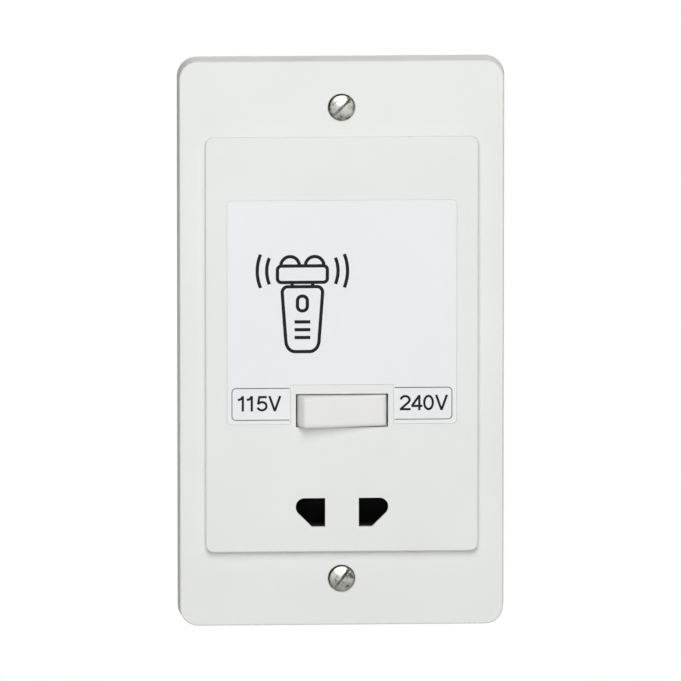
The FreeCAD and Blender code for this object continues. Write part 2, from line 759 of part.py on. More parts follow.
def make_seesaw():
    """The moving contact: a strip bent to a shallow V, with a hub below its middle."""
    seesaw = new_body("Seesaw")
    strip = sketch(seesaw, "XY_Plane")
    half = "(seesaw_thick / 2 / cos(seesaw_rise))"
    lift = "seesaw_half * tan(seesaw_rise)"
    polygon(strip, [
        ("-seesaw_half", f"-{lift} - {half}"), ("0", f"-{half}"), ("seesaw_half", f"-{lift} - {half}"),
        ("seesaw_half", f"-{lift} + {half}"), ("0", half), ("-seesaw_half", f"-{lift} + {half}")])
    pad(seesaw, strip, "seesaw_width", both=True)
    hub = sketch(seesaw, "XY_Plane")
    circle(hub, "hub_radius")
    pad(seesaw, hub, "seesaw_width", both=True)
    # The hub is flush with the front of the strip
    trim = sketch(seesaw, "XY_Plane")
    polygon(trim, [("0", f"-{half}"), ("2 * hub_radius", f"-{half} - 2 * hub_radius * tan(seesaw_rise)"),
                   ("2 * hub_radius", "-4 * hub_radius"), ("-2 * hub_radius", "-4 * hub_radius"),
                   ("-2 * hub_radius", f"-{half} - 2 * hub_radius * tan(seesaw_rise)")])
    pocket(seesaw, trim, both=True)
    buttons = sketch(seesaw, "XZ_Plane", "-button_place * tan(seesaw_rise)")
    circle(buttons, "button_radius", "button_place")
    circle(buttons, "button_radius", "-button_place")
    pad(seesaw, buttons, "seesaw_thick / 2 + button_thick", reverse=True)
    place(seesaw, "0", HUB_Y, "rocker_level")
    bind(seesaw, Placement__Rotation__Angle="-seesaw_tilt")
    return node(seesaw, "moving_contact")


def add_tag(owner, x):
    """The solder tag of a switch terminal, through the floor of the well."""
    tag = sketch(owner, "XZ_Plane", WELL_FLOOR_Y)
    rectangle(tag, f"{x} - terminal_thick / 2", f"{x} + terminal_thick / 2",
              "rocker_level - tag_width / 2", "rocker_level + tag_width / 2")
    pad(owner, tag, f"{TAG_END_Y} - {WELL_FLOOR_Y}", reverse=True)


def make_common_terminal():
    """A folded strip with a cradle in which the seesaw's hub turns."""
    common = new_body("CommonTerminal")
    top = f"({HUB_Y} + cradle_drop)"
    fold = sketch(common, "XY_Plane", "rocker_level")
    rectangle(fold, "-cradle_half", "cradle_half", top, WELL_FLOOR_Y)
    pad(common, fold, "terminal_width", both=True)
    inside = sketch(common, "XY_Plane", "rocker_level")
    rectangle(inside, "terminal_thick - cradle_half", "cradle_half - terminal_thick",
              f"{HUB_Y} + hub_radius + hub_gap + terminal_thick", f"{WELL_FLOOR_Y} - terminal_thick")
    pocket(common, inside, both=True)
    cradle = sketch(common, "XY_Plane", "rocker_level")
    circle(cradle, "hub_radius + hub_gap", "0", HUB_Y)
    pocket(common, cradle, both=True)
    add_tag(common, "0")
    return node(common, "common_terminal")


TAP_X = "(seesaw_half + terminal_thick / 2)"


def make_tap(label, side):
    """A fixed contact: a blade bent over under one end of the seesaw, with a button on it."""
    tap = new_body("Tap")
    blade = sketch(tap, "XY_Plane", "rocker_level")
    shelf = f"({TAP_Y} + button_thick)"
    outer = f"{side} * ({TAP_X} + terminal_thick / 2)"
    inner = f"{side} * ({TAP_X} - terminal_thick / 2)"
    tip = f"{side} * (button_place - button_radius)"
    polygon(blade, [(outer, shelf), (tip, shelf), (tip, f"{shelf} + terminal_thick"),
                    (inner, f"{shelf} + terminal_thick"), (inner, WELL_FLOOR_Y), (outer, WELL_FLOOR_Y)])
    pad(tap, blade, "terminal_width", both=True)
    button = sketch(tap, "XZ_Plane", TAP_Y)
    circle(button, "button_radius", f"{side} * button_place", "rocker_level")
    pad(tap, button, "button_thick", reverse=True)
    add_tag(tap, f"{side} * {TAP_X}")
    return node(tap, label)


def make_chassis():
    chassis = new_body("Chassis")
    middle = f"({CHASSIS_TOP} + {CHASSIS_BOTTOM}) / 2"
    height = f"{CHASSIS_TOP} - {CHASSIS_BOTTOM}"
    tray = sketch(chassis, "XZ_Plane", DECK_FRONT_Y)
    rounded_rectangle(tray, f"2 * {CHASSIS_HALF}", height, "chassis_corner", middle)
    pad(chassis, tray, "chassis_back + deck_lead", reverse=True)
    inside = sketch(chassis, "XZ_Plane", "chassis_back")
    rounded_rectangle(inside, f"2 * ({CHASSIS_HALF} - chassis_wall)", f"{height} - 2 * chassis_wall",
                      "chassis_corner - chassis_wall", middle)
    pocket(chassis, inside, f"chassis_back - {DECK_BACK_Y}", reverse=True)

    # Well of the voltage switch, with slots for the three tags in its floor
    shell = sketch(chassis, "XZ_Plane", DECK_BACK_Y)
    centred_rectangle(shell, f"2 * ({WELL_HALF} + well_wall)", "well_height + 2 * well_wall", "rocker_level")
    pad(chassis, shell, "well_depth", reverse=True)
    well = sketch(chassis, "XZ_Plane", DECK_FRONT_Y)
    centred_rectangle(well, f"2 * {WELL_HALF}", "well_height", "rocker_level")
    pocket(chassis, well, "deck_thick + well_depth - well_wall")
    slots = sketch(chassis, "XZ_Plane", WELL_FLOOR_Y)
    for x in ("0", TAP_X, f"-{TAP_X}"):
        rectangle(slots, f"{x} - terminal_thick / 2 - tag_gap", f"{x} + terminal_thick / 2 + tag_gap",
                  "rocker_level - tag_width / 2 - tag_gap", "rocker_level + tag_width / 2 + tag_gap")
    pocket(chassis, slots, "well_wall")

    # Stops that keep the rocker's trunnions in their bearings
    stops = sketch(chassis, "XZ_Plane", DECK_FRONT_Y)
    near_end = "(rocker_height / 2 + 2 * trunnion_gap)"
    far_end = "(rocker_height / 2 + trunnion_length)"
    for sign in ("+", "-"):
        rectangle(stops, "-trunnion_radius + 4 * trunnion_gap", "trunnion_radius - 4 * trunnion_gap",
                  f"rocker_level {sign} {near_end}", f"rocker_level {sign} {far_end}")
    pad(chassis, stops, f"{DECK_FRONT_Y} - {PIVOT_Y} - trunnion_radius - 2 * trunnion_gap")

    # Rails and pillars that carry the transformer
    rails = sketch(chassis, "XZ_Plane", DECK_BACK_Y)
    rail_outer = "(core_width / 2 - rail_inset)"
    rail_inner = f"({rail_outer} - rail_width)"
    rail_low = "core_level - core_height / 2"
    rail_high = "core_level + core_height / 2"
    rectangle(rails, rail_inner, rail_outer, rail_low, rail_high)
    rectangle(rails, f"-{rail_outer}", f"-{rail_inner}", rail_low, rail_high)
    pad(chassis, rails, f"{CORE_FRONT_Y} - {DECK_BACK_Y}", reverse=True)
    pillars = sketch(chassis, "XZ_Plane", DECK_BACK_Y)
    pillar_pilots = sketch(chassis, "XZ_Plane", "pillar_back")
    for across, up in STRAP_FEET:
        circle(pillars, "strap_foot / 2", across, up)
        circle(pillar_pilots, "pilot_radius", across, up)
    pad(chassis, pillars, f"pillar_back - {DECK_BACK_Y}", reverse=True)
    pocket(chassis, pillar_pilots, "pillar_pilot", reverse=True)

    # Holes for the chassis screws, on bosses at the top
    bosses = sketch(chassis, "XZ_Plane", DECK_BACK_Y)
    for across, up in CHASSIS_SCREWS[:2]:
        circle(bosses, SCREW_ROOM, across, up)
    pad(chassis, bosses, "ear_thick", reverse=True)
    holes = sketch(chassis, "XZ_Plane", DECK_FRONT_Y)
    for across, up in CHASSIS_SCREWS:
        circle(holes, "tapper_hole", across, up)
    pocket(chassis, holes, "deck_thick + ear_thick")

    # Holes for the pegs of the mains block
    peg_holes = sketch(chassis, "XZ_Plane", DECK_FRONT_Y)
    for level in MAINS_PEGS:
        circle(peg_holes, "peg_radius + peg_gap", MAINS_X, level)
    pocket(chassis, peg_holes, "deck_thick")

    # Window for the shutter, its side guides and the step that the springs push on
    window = sketch(chassis, "XZ_Plane", DECK_FRONT_Y)
    wide = "(shutter_width / 2 + shutter_side_gap)"
    slot = "(tongue_width / 2 + shutter_side_gap)"
    slot_top = f"({TONGUE_TOP} + shutter_travel + shutter_side_gap)"
    low = f"({SHUTTER_BOTTOM} - shutter_gap)"
    polygon(window, [(f"-{wide}", low), (wide, low), (wide, SPRING_TOP), (slot, SPRING_TOP), (slot, slot_top),
                     (f"-{slot}", slot_top), (f"-{slot}", SPRING_TOP), (f"-{wide}", SPRING_TOP)])
    pocket(chassis, window, "deck_thick")
    guides = sketch(chassis, "XZ_Plane", DECK_FRONT_Y)
    guide_inner = "(shutter_width / 2 + shutter_ear + shutter_side_gap)"
    guide_low = f"({SHUTTER_TOP} - ear_drop)"
    guide_high = f"({SHUTTER_TOP} + shutter_travel)"
    rectangle(guides, guide_inner, f"{guide_inner} + guide_wall", guide_low, guide_high)
    rectangle(guides, f"-{guide_inner} - guide_wall", f"-{guide_inner}", guide_low, guide_high)
    pad(chassis, guides, f"{DECK_FRONT_Y} - {SHUTTER_FRONT_Y}")
    return node(chassis, "chassis")


def make_tapping_screw():
    """A slotted tapping screw that points to the front, with its seat at the origin."""
    screw = new_body("TappingScrew")
    section = sketch(screw, "YZ_Plane")
    polygon(section, [("-tapper_length", "0"), ("-tapper_length", "tapper_radius"),
                      ("0", "tapper_radius"), ("0", "tapper_head"),
                      ("tapper_head_thick - tapper_chamfer", "tapper_head"),
                      ("tapper_head_thick", "tapper_head - tapper_chamfer"), ("tapper_head_thick", "0")])
    turned(screw, section)
    slot = sketch(screw, "XZ_Plane", "tapper_head_thick")
    centred_rectangle(slot, "4 * tapper_head", "tapper_slot")
    pocket(screw, slot, "tapper_head_thick / 2", reverse=True)
    return screw


def make_shutter():
    """A wedge behind the pin apertures: pins that push on its slope lift it."""
    shutter = new_body("Shutter")
    wedge = sketch(shutter, "YZ_Plane")
    polygon(wedge, [(SHUTTER_FRONT_Y, SHUTTER_TOP), (SHUTTER_FRONT_Y, PIN_TOP),
                    ("shutter_back - shutter_toe", SHUTTER_BOTTOM), ("shutter_back", SHUTTER_BOTTOM),
                    ("shutter_back", SHUTTER_TOP)])
    pad(shutter, wedge, "shutter_width", both=True)
    ears = sketch(shutter, "XZ_Plane", SHUTTER_FRONT_Y)
    centred_rectangle(ears, "shutter_width + 2 * shutter_ear", "ear_drop", f"{SHUTTER_TOP} - ear_drop / 2")
    pad(shutter, ears, f"{DECK_FRONT_Y} - shutter_gap - {SHUTTER_FRONT_Y}", reverse=True)
    # The ears stop at the slope, so the wedge stays open in front of the pins
    slope = sketch(shutter, "YZ_Plane")
    polygon(slope, [(SHUTTER_FRONT_Y, PIN_TOP), (SHUTTER_FRONT_Y, SHUTTER_BOTTOM),
                    ("shutter_back - shutter_toe", SHUTTER_BOTTOM)])
    pocket(shutter, slope, "shutter_width", both=True)

    tongue = sketch(shutter, "YZ_Plane")
    rectangle(tongue, "shutter_back - tongue_thick", "shutter_back", PIN_TOP, TONGUE_TOP)
    pad(shutter, tongue, "tongue_width", both=True)
    cam = sketch(shutter, "YZ_Plane")
    polygon(cam, [("shutter_back", CAM_LOW), ("shutter_back", TONGUE_TOP),
                  (f"shutter_back - {CAM_SLOPE} * ({TONGUE_TOP} - {CAM_LOW})", TONGUE_TOP)])
    pocket(shutter, cam, "tongue_width", both=True)
    spigots = sketch(shutter, "XY_Plane", SHUTTER_TOP)
    circle(spigots, "spigot_radius", "spring_place", SPRING_Y)
    circle(spigots, "spigot_radius", "-spring_place", SPRING_Y)
    pad(shutter, spigots, "spigot_length")
    return node(shutter, "shutter")


def make_shutter_springs():
    spring = doc.addObject("Part::Feature", "ShutterSpring")
    spring.Shape = coil(sheet.spring_radius, sheet.spring_wire, sheet.spring_length - 2 * sheet.spring_gap,
                        sheet.spring_turns)
    foot = f"{SHUTTER_TOP} + spring_gap"
    return copies("shutter_springs", spring, [(f"{side}spring_place", SPRING_Y, foot) for side in ("-", "")])


def make_contact_block():
    """An insulator with one chamber for each pin, open to the front."""
    block = new_body("ContactBlock")
    outside = sketch(block, "XZ_Plane", DECK_BACK_Y)
    rectangle(outside, f"-{BLOCK_HALF}", BLOCK_HALF, BLOCK_BOTTOM, BLOCK_TOP)
    pad(block, outside, "block_depth", reverse=True)
    ears = sketch(block, "XZ_Plane", DECK_BACK_Y)
    reach = f"({CHASSIS_SCREW_X} + {SCREW_ROOM})"
    ear_top = f"{CHASSIS_SCREW_LOW} + {SCREW_ROOM}"
    rectangle(ears, f"-{reach}", reach, BLOCK_BOTTOM, ear_top)
    pad(block, ears, "ear_thick", reverse=True)
    holes = sketch(block, "XZ_Plane", DECK_BACK_Y)
    for across, up in CHASSIS_SCREWS[2:]:
        circle(holes, "tapper_hole", across, up)
    pocket(block, holes, "ear_thick")

    chambers = sketch(block, "XZ_Plane", DECK_BACK_Y)
    inner = "(pin_inner - block_clear)"
    top = f"{PIN_TOP} + block_clear"
    rectangle(chambers, inner, CHAMBER_OUTER, CHAMBER_BOTTOM, top)
    rectangle(chambers, f"-{CHAMBER_OUTER}", f"-{inner}", CHAMBER_BOTTOM, top)
    pocket(block, chambers, "block_depth - block_wall")
    # Room for the shutter, open at the top so that it can rise
    room = sketch(block, "XZ_Plane", DECK_BACK_Y)
    wide = "(shutter_width / 2 + shutter_side_gap)"
    rectangle(room, f"-{wide}", wide, CHAMBER_BOTTOM, f"{BLOCK_TOP} + block_wall")
    pocket(block, room, f"shutter_back + shutter_gap - {DECK_BACK_Y}")
    slots = sketch(block, "XZ_Plane", BLOCK_BACK_Y)
    for side in ("1", "-1"):
        rectangle(slots, f"{side} * ({STRIP_X} - strip_thick - strip_gap)", f"{side} * {CHAMBER_OUTER}",
                  "pin_level - strip_width / 2 - strip_gap", "pin_level + strip_width / 2 + strip_gap")
    pocket(block, slots, "block_wall", reverse=True)
    pegs = sketch(block, "XY_Plane", BLOCK_TOP)
    for side in ("-", ""):
        circle(pegs, "peg_radius", f"{side}peg_place", f"{SWITCH_FRONT_Y} + switch_depth / 2")
    pad(block, pegs, "switch_height - peg_radius")
    return node(block, "contact_block")


def make_socket_contact(label, side):
    """A spring strip on the outer wall of a chamber, folded back and bowed towards the pin."""
    contact = new_body("SocketContact")
    wall = STRIP_X
    fold = f"({STRIP_X} - strip_bow / 2)"
    bow = f"({STRIP_X} - strip_bow)"
    tag_end = f"({BLOCK_BACK_Y} + tag_length)"
    front = f"({DECK_BACK_Y} + strip_lead + strip_bow)"
    end = f"({BLOCK_BACK_Y} - block_wall - strip_lead)"
    middle = f"(({front} + {end}) / 2)"
    outline = [(wall, tag_end), (wall, front), (fold, front), (bow, middle), (fold, end),
               (f"{fold} + strip_thick", end), (f"{bow} + strip_thick", middle),
               (f"{fold} + strip_thick", f"{front} + strip_thick"),
               (f"{wall} - strip_thick", f"{front} + strip_thick"), (f"{wall} - strip_thick", tag_end)]
    strip = sketch(contact, "XY_Plane", "pin_level")
    polygon(strip, [(f"{side} * ({x})", y) for x, y in outline])
    pad(contact, strip, "strip_width", both=True)
    return node(contact, label)


def make_switch():
    """A small sealed switch on the contact block, with three tags at the back."""
    switch = new_body("Switch")
    case = sketch(switch, "XZ_Plane", SWITCH_FRONT_Y)
    centred_rectangle(case, "switch_width", "switch_height", SWITCH_LEVEL)
    pad(switch, case, "switch_depth", reverse=True)
    holes = sketch(switch, "XY_Plane", BLOCK_TOP)
    for side in ("-", ""):
        circle(holes, "peg_radius + peg_gap", f"{side}peg_place", f"{SWITCH_FRONT_Y} + switch_depth / 2")
    pocket(switch, holes, "switch_height", reverse=True)
    guide = sketch(switch, "XZ_Plane", SWITCH_FRONT_Y)
    circle(guide, "push_radius + push_gap", "0", SWITCH_LEVEL)
    pocket(switch, guide, "push_depth + cam_depth + push_gap")
    tags = sketch(switch, "XZ_Plane", f"{SWITCH_FRONT_Y} + switch_depth")
    for x in ("0", "peg_place", "-peg_place"):
        rectangle(tags, f"{x} - lug_width / 2", f"{x} + lug_width / 2",
                  f"{SWITCH_LEVEL} - lug_thick / 2", f"{SWITCH_LEVEL} + lug_thick / 2")
    pad(switch, tags, "lug_length", reverse=True)
    return node(switch, "mains_switch")


def make_switch_button():
    """The button that the shutter's cam pushes in."""
    button = new_body("SwitchButton")
    tip = f"(shutter_back - {CAM_SLOPE} * ({SWITCH_LEVEL} - push_radius - {CAM_LOW}) + cam_gap)"
    end = f"({SWITCH_FRONT_Y} + push_depth)"
    section = sketch(button, "YZ_Plane")
    bind(section, AttachmentOffset__Base__y=SWITCH_LEVEL)
    polygon(section, [(tip, "0"), (tip, "push_radius - push_chamfer"),
                      (f"{tip} + push_chamfer", "push_radius"), (end, "push_radius"), (end, "0")])
    turned(button, section)
    return node(button, "switch_button")


def make_core():
    core = new_body("Core")
    stack = sketch(core, "XZ_Plane", CORE_FRONT_Y)
    centred_rectangle(stack, "core_width", "core_height", "core_level")
    window_inner = "core_leg / 2"
    window_outer = f"core_leg / 2 + {WINDOW_WIDTH}"
    low = "core_level - (core_height - core_leg) / 2"
    high = "core_level + (core_height - core_leg) / 2"
    rectangle(stack, window_inner, window_outer, low, high)
    rectangle(stack, f"-({window_outer})", f"-({window_inner})", low, high)
    pad(core, stack, "core_stack", reverse=True)
    return node(core, "transformer_core")


FLANGE_HALF = f"(core_leg / 2 + {WINDOW_WIDTH} - bobbin_gap)"
FLANGE_LEVELS = [f"core_level - {BOBBIN_HEIGHT} / 2", "core_level - flange_thick / 2",
                 f"core_level + {BOBBIN_HEIGHT} / 2 - flange_thick"]
TUBE_HALF = "(core_leg / 2 + bobbin_gap + bobbin_wall)"
TUBE_DEPTH = "(core_stack / 2 + bobbin_gap + bobbin_wall)"
FLANGE_DEPTH = "(core_stack / 2 + flange_reach)"


def round_the_leg(drawing, half, depth):
    """A rectangle about the middle leg of the core."""
    rectangle(drawing, f"-{half}", half, f"{CORE_MIDDLE_Y} - {depth}", f"{CORE_MIDDLE_Y} + {depth}")


def make_bobbin():
    """A tube round the middle leg, with three flanges that keep the windings apart."""
    bobbin = new_body("Bobbin")
    tube = sketch(bobbin, "XY_Plane", "core_level")
    round_the_leg(tube, TUBE_HALF, TUBE_DEPTH)
    pad(bobbin, tube, BOBBIN_HEIGHT, both=True)
    for level in FLANGE_LEVELS:
        flange = sketch(bobbin, "XY_Plane", level)
        round_the_leg(flange, FLANGE_HALF, FLANGE_DEPTH)
        pad(bobbin, flange, "flange_thick")
    leg = sketch(bobbin, "XY_Plane", "core_level")
    round_the_leg(leg, "(core_leg / 2 + bobbin_gap)", "(core_stack / 2 + bobbin_gap)")
    pocket(bobbin, leg, both=True)
    return node(bobbin, "bobbin")


def make_winding(label, level):
    """Copper wire wound on the bobbin between two flanges."""
    winding = new_body("Winding")
    outside = sketch(winding, "XY_Plane", level)
    rounded_rectangle(outside, f"2 * ({FLANGE_HALF} - winding_sink)", f"2 * ({FLANGE_DEPTH} - winding_sink)",
                      "winding_corner", CORE_MIDDLE_Y)
    pad(winding, outside, WINDING_HEIGHT)
    inside = sketch(winding, "XY_Plane", level)
    round_the_leg(inside, TUBE_HALF, TUBE_DEPTH)
    pocket(winding, inside, WINDING_HEIGHT, reverse=True)
    return node(winding, label)


LUG_Y = f"({CORE_MIDDLE_Y} + {FLANGE_DEPTH})"
LOWER_LUGS = ["-lug_link", "0", "lug_far"]
UPPER_LUGS = ["-lug_far", "-lug_near", "lug_near"]
LOWER_LUGS_Z = f"({FLANGE_LEVELS[0]} + flange_thick / 2)"
UPPER_LUGS_Z = f"({FLANGE_LEVELS[2]} + flange_thick / 2)"


def make_winding_lugs():
    """Solder lugs on the back edges of the outer flanges."""
    lug = doc.addObject("Part::Box", "Lug")
    bind(lug, Length="lug_width", Width="lug_length", Height="lug_thick")
    doc.recompute()
    places = [(f"{x} - lug_width / 2", LUG_Y, f"{LOWER_LUGS_Z} - lug_thick / 2") for x in LOWER_LUGS]
    places += [(f"{x} - lug_width / 2", LUG_Y, f"{UPPER_LUGS_Z} - lug_thick / 2") for x in UPPER_LUGS]
    return copies("winding_lugs", lug, places)


def make_cutout():
    """A thermal cut-out, flat on the back of the primary winding, with two legs down to its lugs."""
    cutout = new_body("Cutout")
    front = f"{LUG_Y} - winding_sink"
    level = f"(core_level - flange_thick / 2 - {WINDING_HEIGHT} / 2)"
    case = sketch(cutout, "XZ_Plane", front)
    rounded_rectangle(case, "cutout_width", "cutout_height", "cutout_corner", level)
    pad(cutout, case, "cutout_thick", reverse=True)
    legs = sketch(cutout, "XY_Plane", level)
    for across in ("-lug_link / 2", "lug_link / 2"):
        circle(legs, "cutout_leg", across, f"{front} + cutout_thick / 2")
    pad(cutout, legs, f"{level} - {LOWER_LUGS_Z} - lug_thick / 2", reverse=True)
    place(cutout, "-lug_link / 2")
    return node(cutout, "thermal_cutout")


def make_strap(label, sign):
    """A steel strap over one yoke of the core, with a foot on each pillar."""
    strap = new_body("Strap")
    inner = STRAP_INNER
    outer = f"({STRAP_INNER} + strap_thick)"
    toe = f"({STRAP_INNER} + strap_thick + strap_foot)"
    foot_back = "pillar_back + strap_thick"
    back = f"{CORE_BACK_Y} + strap_thick"
    half = [(toe, foot_back), (toe, "pillar_back"), (inner, "pillar_back"), (inner, CORE_BACK_Y)]
    other_half = [(outer, back), (outer, foot_back)]
    fold = sketch(strap, "XY_Plane", f"core_level {sign} {YOKE_MIDDLE}")
    polygon(fold, half + [(f"-{x}", y) for x, y in reversed(half)]
            + [(f"-{x}", y) for x, y in reversed(other_half)] + other_half)
    pad(strap, fold, "strap_width", both=True)
    holes = sketch(strap, "XZ_Plane", "pillar_back")
    for across, up in STRAP_FEET[:2] if sign == "+" else STRAP_FEET[2:]:
        circle(holes, "tapper_hole", across, up)
    pocket(strap, holes, "strap_thick")
    return node(strap, label)


def make_mains_block():
    """The block of mains terminals, with three cells open to the back."""
    block = new_body("MainsBlock")
    outside = sketch(block, "XZ_Plane", DECK_BACK_Y)
    far_side = f"({MAINS_INNER} + {MAINS_WIDTH})"
    rectangle(outside, MAINS_INNER, far_side, MAINS_BOTTOM, f"{MAINS_BOTTOM} + {MAINS_HEIGHT}")
    pad(block, outside, "mains_depth", reverse=True)
    cells = sketch(block, "XZ_Plane", f"{DECK_BACK_Y} + mains_depth")
    entries = sketch(block, "YZ_Plane", far_side)
    for level in CELL_LEVELS:
        rectangle(cells, f"{MAINS_X} - cell_size / 2", f"{MAINS_X} + cell_size / 2",
                  f"{level} - cell_size / 2", f"{level} + cell_size / 2")
        circle(entries, "cable_radius + clamp_gap", f"{CELL_FLOOR_Y} + pillar_height / 3", level)
    pocket(block, cells, "mains_depth - cell_floor", reverse=True)
    pocket(block, entries, f"{MAINS_WIDTH} / 2")
    pegs = sketch(block, "XZ_Plane", DECK_BACK_Y)
    for level in MAINS_PEGS:
        circle(pegs, "peg_radius", MAINS_X, level)
    pad(block, pegs, "deck_thick")
    return node(block, "mains_block")


def make_mains_terminals():
    """Brass pillars, each with a cross hole for a wire, and a screw that clamps it."""
    pillar = new_body("Pillar")
    half = "(cell_size / 2 - cell_gap)"
    post = sketch(pillar, "XZ_Plane")
    centred_rectangle(post, f"2 * {half}", f"2 * {half}")
    pad(pillar, post, "pillar_height", reverse=True)
    cross = sketch(pillar, "YZ_Plane")
    circle(cross, "cable_radius", "pillar_height / 3", "0")
    pocket(pillar, cross, both=True)
    thread = sketch(pillar, "XZ_Plane", "pillar_height")
    circle(thread, "clamp_radius + clamp_gap")
    pocket(pillar, thread, "2 * pillar_height / 3", reverse=True)
    tag = sketch(pillar, "XZ_Plane", "pillar_height")
    rectangle(tag, f"-{half}", f"terminal_thick - {half}", "-tag_width / 2", "tag_width / 2")
    pad(pillar, tag, "pillar_tag", reverse=True)
    copies("mains_terminals", pillar, [(MAINS_X, CELL_FLOOR_Y, level) for level in CELL_LEVELS])

    screw = new_body("ClampScrew")
    shank = sketch(screw, "XZ_Plane")
    circle(shank, "clamp_radius")
    pad(screw, shank, "clamp_length", reverse=True)
    slot = sketch(screw, "XZ_Plane", "clamp_length")
    centred_rectangle(slot, "4 * clamp_radius", "tapper_slot")
    pocket(screw, slot, "clamp_radius / 2", reverse=True)
    start = f"{CELL_FLOOR_Y} + pillar_height / 3 + cable_radius"
    copies("clamp_screws", screw, [(MAINS_X, start, level) for level in CELL_LEVELS])


ARC_SHARE = 0.45
LEAD_SIDES = 6
VOLUME_SHARE = 0.02


def rounded_path(points):
    """Straight runs joined by tangent arcs, each as large as its two runs allow; also the arcs' radii."""
    edges = []
    radii = []
    start = points[0]
    for before, corner, after in zip(points, points[1:], points[2:]):
        back = before - corner
        ahead = after - corner
        setback = ARC_SHARE * min(back.Length, ahead.Length)
        half_angle = back.getAngle(ahead) / 2
        back.normalize()
        ahead.normalize()
        inward = (back + ahead).normalize()
        radius = setback * math.tan(half_angle)
        middle = corner + inward * (setback / math.cos(half_angle) - radius)
        enter = corner + back * setback
        leave = corner + ahead * setback
        edges.append(Part.LineSegment(start, enter).toShape())
        edges.append(Part.Arc(enter, middle, leave).toShape())
        radii.append(round(radius, 1))
        start = leave
    edges.append(Part.LineSegment(start, points[-1]).toShape())
    return Part.Wire(edges), radii


def make_lead(label, route):
    """An insulated lead between two tags: its ends are formulas, and its bends are chosen points."""
    vertices = []
    for stop in route:
        vertex = doc.addObject("Part::Vertex", "RoutePoint")
        for axis, value in zip("XYZ", stop):
            vertex.setExpression(axis, formula(str(value)))
        vertices.append(vertex)
    doc.recompute()
    points = [FreeCAD.Vector(vertex.X.Value, vertex.Y.Value, vertex.Z.Value) for vertex in vertices]
    path, radii = rounded_path(points)
    along = (points[1] - points[0]).normalize()
    across = along.cross(FreeCAD.Vector(1, 0, 0)).normalize()
    upward = along.cross(across)
    ring = []
    for side in range(LEAD_SIDES + 1):
        turn = 2 * math.pi * side / LEAD_SIDES
        ring.append(points[0] + (across * math.cos(turn) + upward * math.sin(turn)) * sheet.lead_radius)
    section = Part.makePolygon(ring)
    lead = doc.addObject("Part::Feature", "Lead")
    lead.Shape = path.makePipeShell([section], True, False)
    ideal = Part.Face(section).Area * path.Length
    if abs(lead.Shape.Volume / ideal - 1) > VOLUME_SHARE:
        raise RuntimeError(f"{label} isn't as full as its section times its length")
    print(label, "bend radii", radii)
    return node(lead, label)


SOCKET_TAG_X = f"({STRIP_X} - strip_thick / 2)"
SOCKET_TAG_Y = f"({BLOCK_BACK_Y} + tag_length)"
SWITCH_TAG_Y = f"({SWITCH_FRONT_Y} + switch_depth + lug_length)"
PILLAR_TAG_X = f"({MAINS_X} - cell_size / 2 + cell_gap + terminal_thick / 2)"
PILLAR_TAG_Y = f"({CELL_FLOOR_Y} + pillar_height + pillar_tag)"
LUG_MIDDLE_Y = f"({LUG_Y} + lug_length / 2)"
LOWER_LUGS_FACE = f"({LOWER_LUGS_Z} - lug_thick / 2)"
UPPER_LUGS_FACE = f"({UPPER_LUGS_Z} - lug_thick / 2)"


def make_leads():
    make_lead("lead_live", [
        (PILLAR_TAG_X, PILLAR_TAG_Y, CELL_LEVELS[1]), (PILLAR_TAG_X, 28.5, CELL_LEVELS[1]),
        ("peg_place", 28.0, SWITCH_LEVEL), ("peg_place", SWITCH_TAG_Y, SWITCH_LEVEL)])
    make_lead("lead_switched", [
        ("-peg_place", SWITCH_TAG_Y, SWITCH_LEVEL), ("-peg_place", 25.0, SWITCH_LEVEL),
        (-5.6, 33.5, -22.0), (-5.0, 39.4, -8.5),
        ("-lug_link", LUG_MIDDLE_Y, 3.5), ("-lug_link", LUG_MIDDLE_Y, LOWER_LUGS_FACE)])
    make_lead("lead_neutral", [
        (PILLAR_TAG_X, PILLAR_TAG_Y, CELL_LEVELS[2]), (PILLAR_TAG_X, 27.0, CELL_LEVELS[2]),
        (17.8, 36.0, -15.5), (14.4, 40.2, -4.0),
        ("lug_far", LUG_MIDDLE_Y, 5.5), ("lug_far", LUG_MIDDLE_Y, LOWER_LUGS_FACE)])
    make_lead("lead_zero", [
        ("-lug_far", LUG_MIDDLE_Y, UPPER_LUGS_FACE), ("-lug_far", LUG_MIDDLE_Y, 19.5),
        (-13.8, 41.0, 0.5), (-13.2, 39.8, -19.0), (f"-{SOCKET_TAG_X}", 38.0, -33.0),
        (f"-{SOCKET_TAG_X}", 37.4, "pin_level"), (f"-{SOCKET_TAG_X}", SOCKET_TAG_Y, "pin_level")])
    make_lead("lead_high_tap", [
        ("-lug_near", LUG_MIDDLE_Y, UPPER_LUGS_FACE), ("-lug_near", LUG_MIDDLE_Y, 19.5),
        (-9.3, 40.9, 2.0), (-9.7, 36.5, -10.5),
        (f"-{TAP_X}", 28.5, "rocker_level"), (f"-{TAP_X}", TAG_END_Y, "rocker_level")])
    make_lead("lead_low_tap", [
        ("lug_near", LUG_MIDDLE_Y, UPPER_LUGS_FACE), ("lug_near", LUG_MIDDLE_Y, 20.0),
        (9.5, 40.8, 2.5), (9.8, 36.0, -10.8),
        (TAP_X, 28.0, "rocker_level"), (TAP_X, TAG_END_Y, "rocker_level")])
    make_lead("lead_common", [
        ("0", TAG_END_Y, "rocker_level"), ("0", 29.0, "rocker_level"),
        (4.6, 35.6, -24.5), (9.4, 38.6, -32.2),
        (SOCKET_TAG_X, 38.4, "pin_level"), (SOCKET_TAG_X, SOCKET_TAG_Y, "pin_level")])


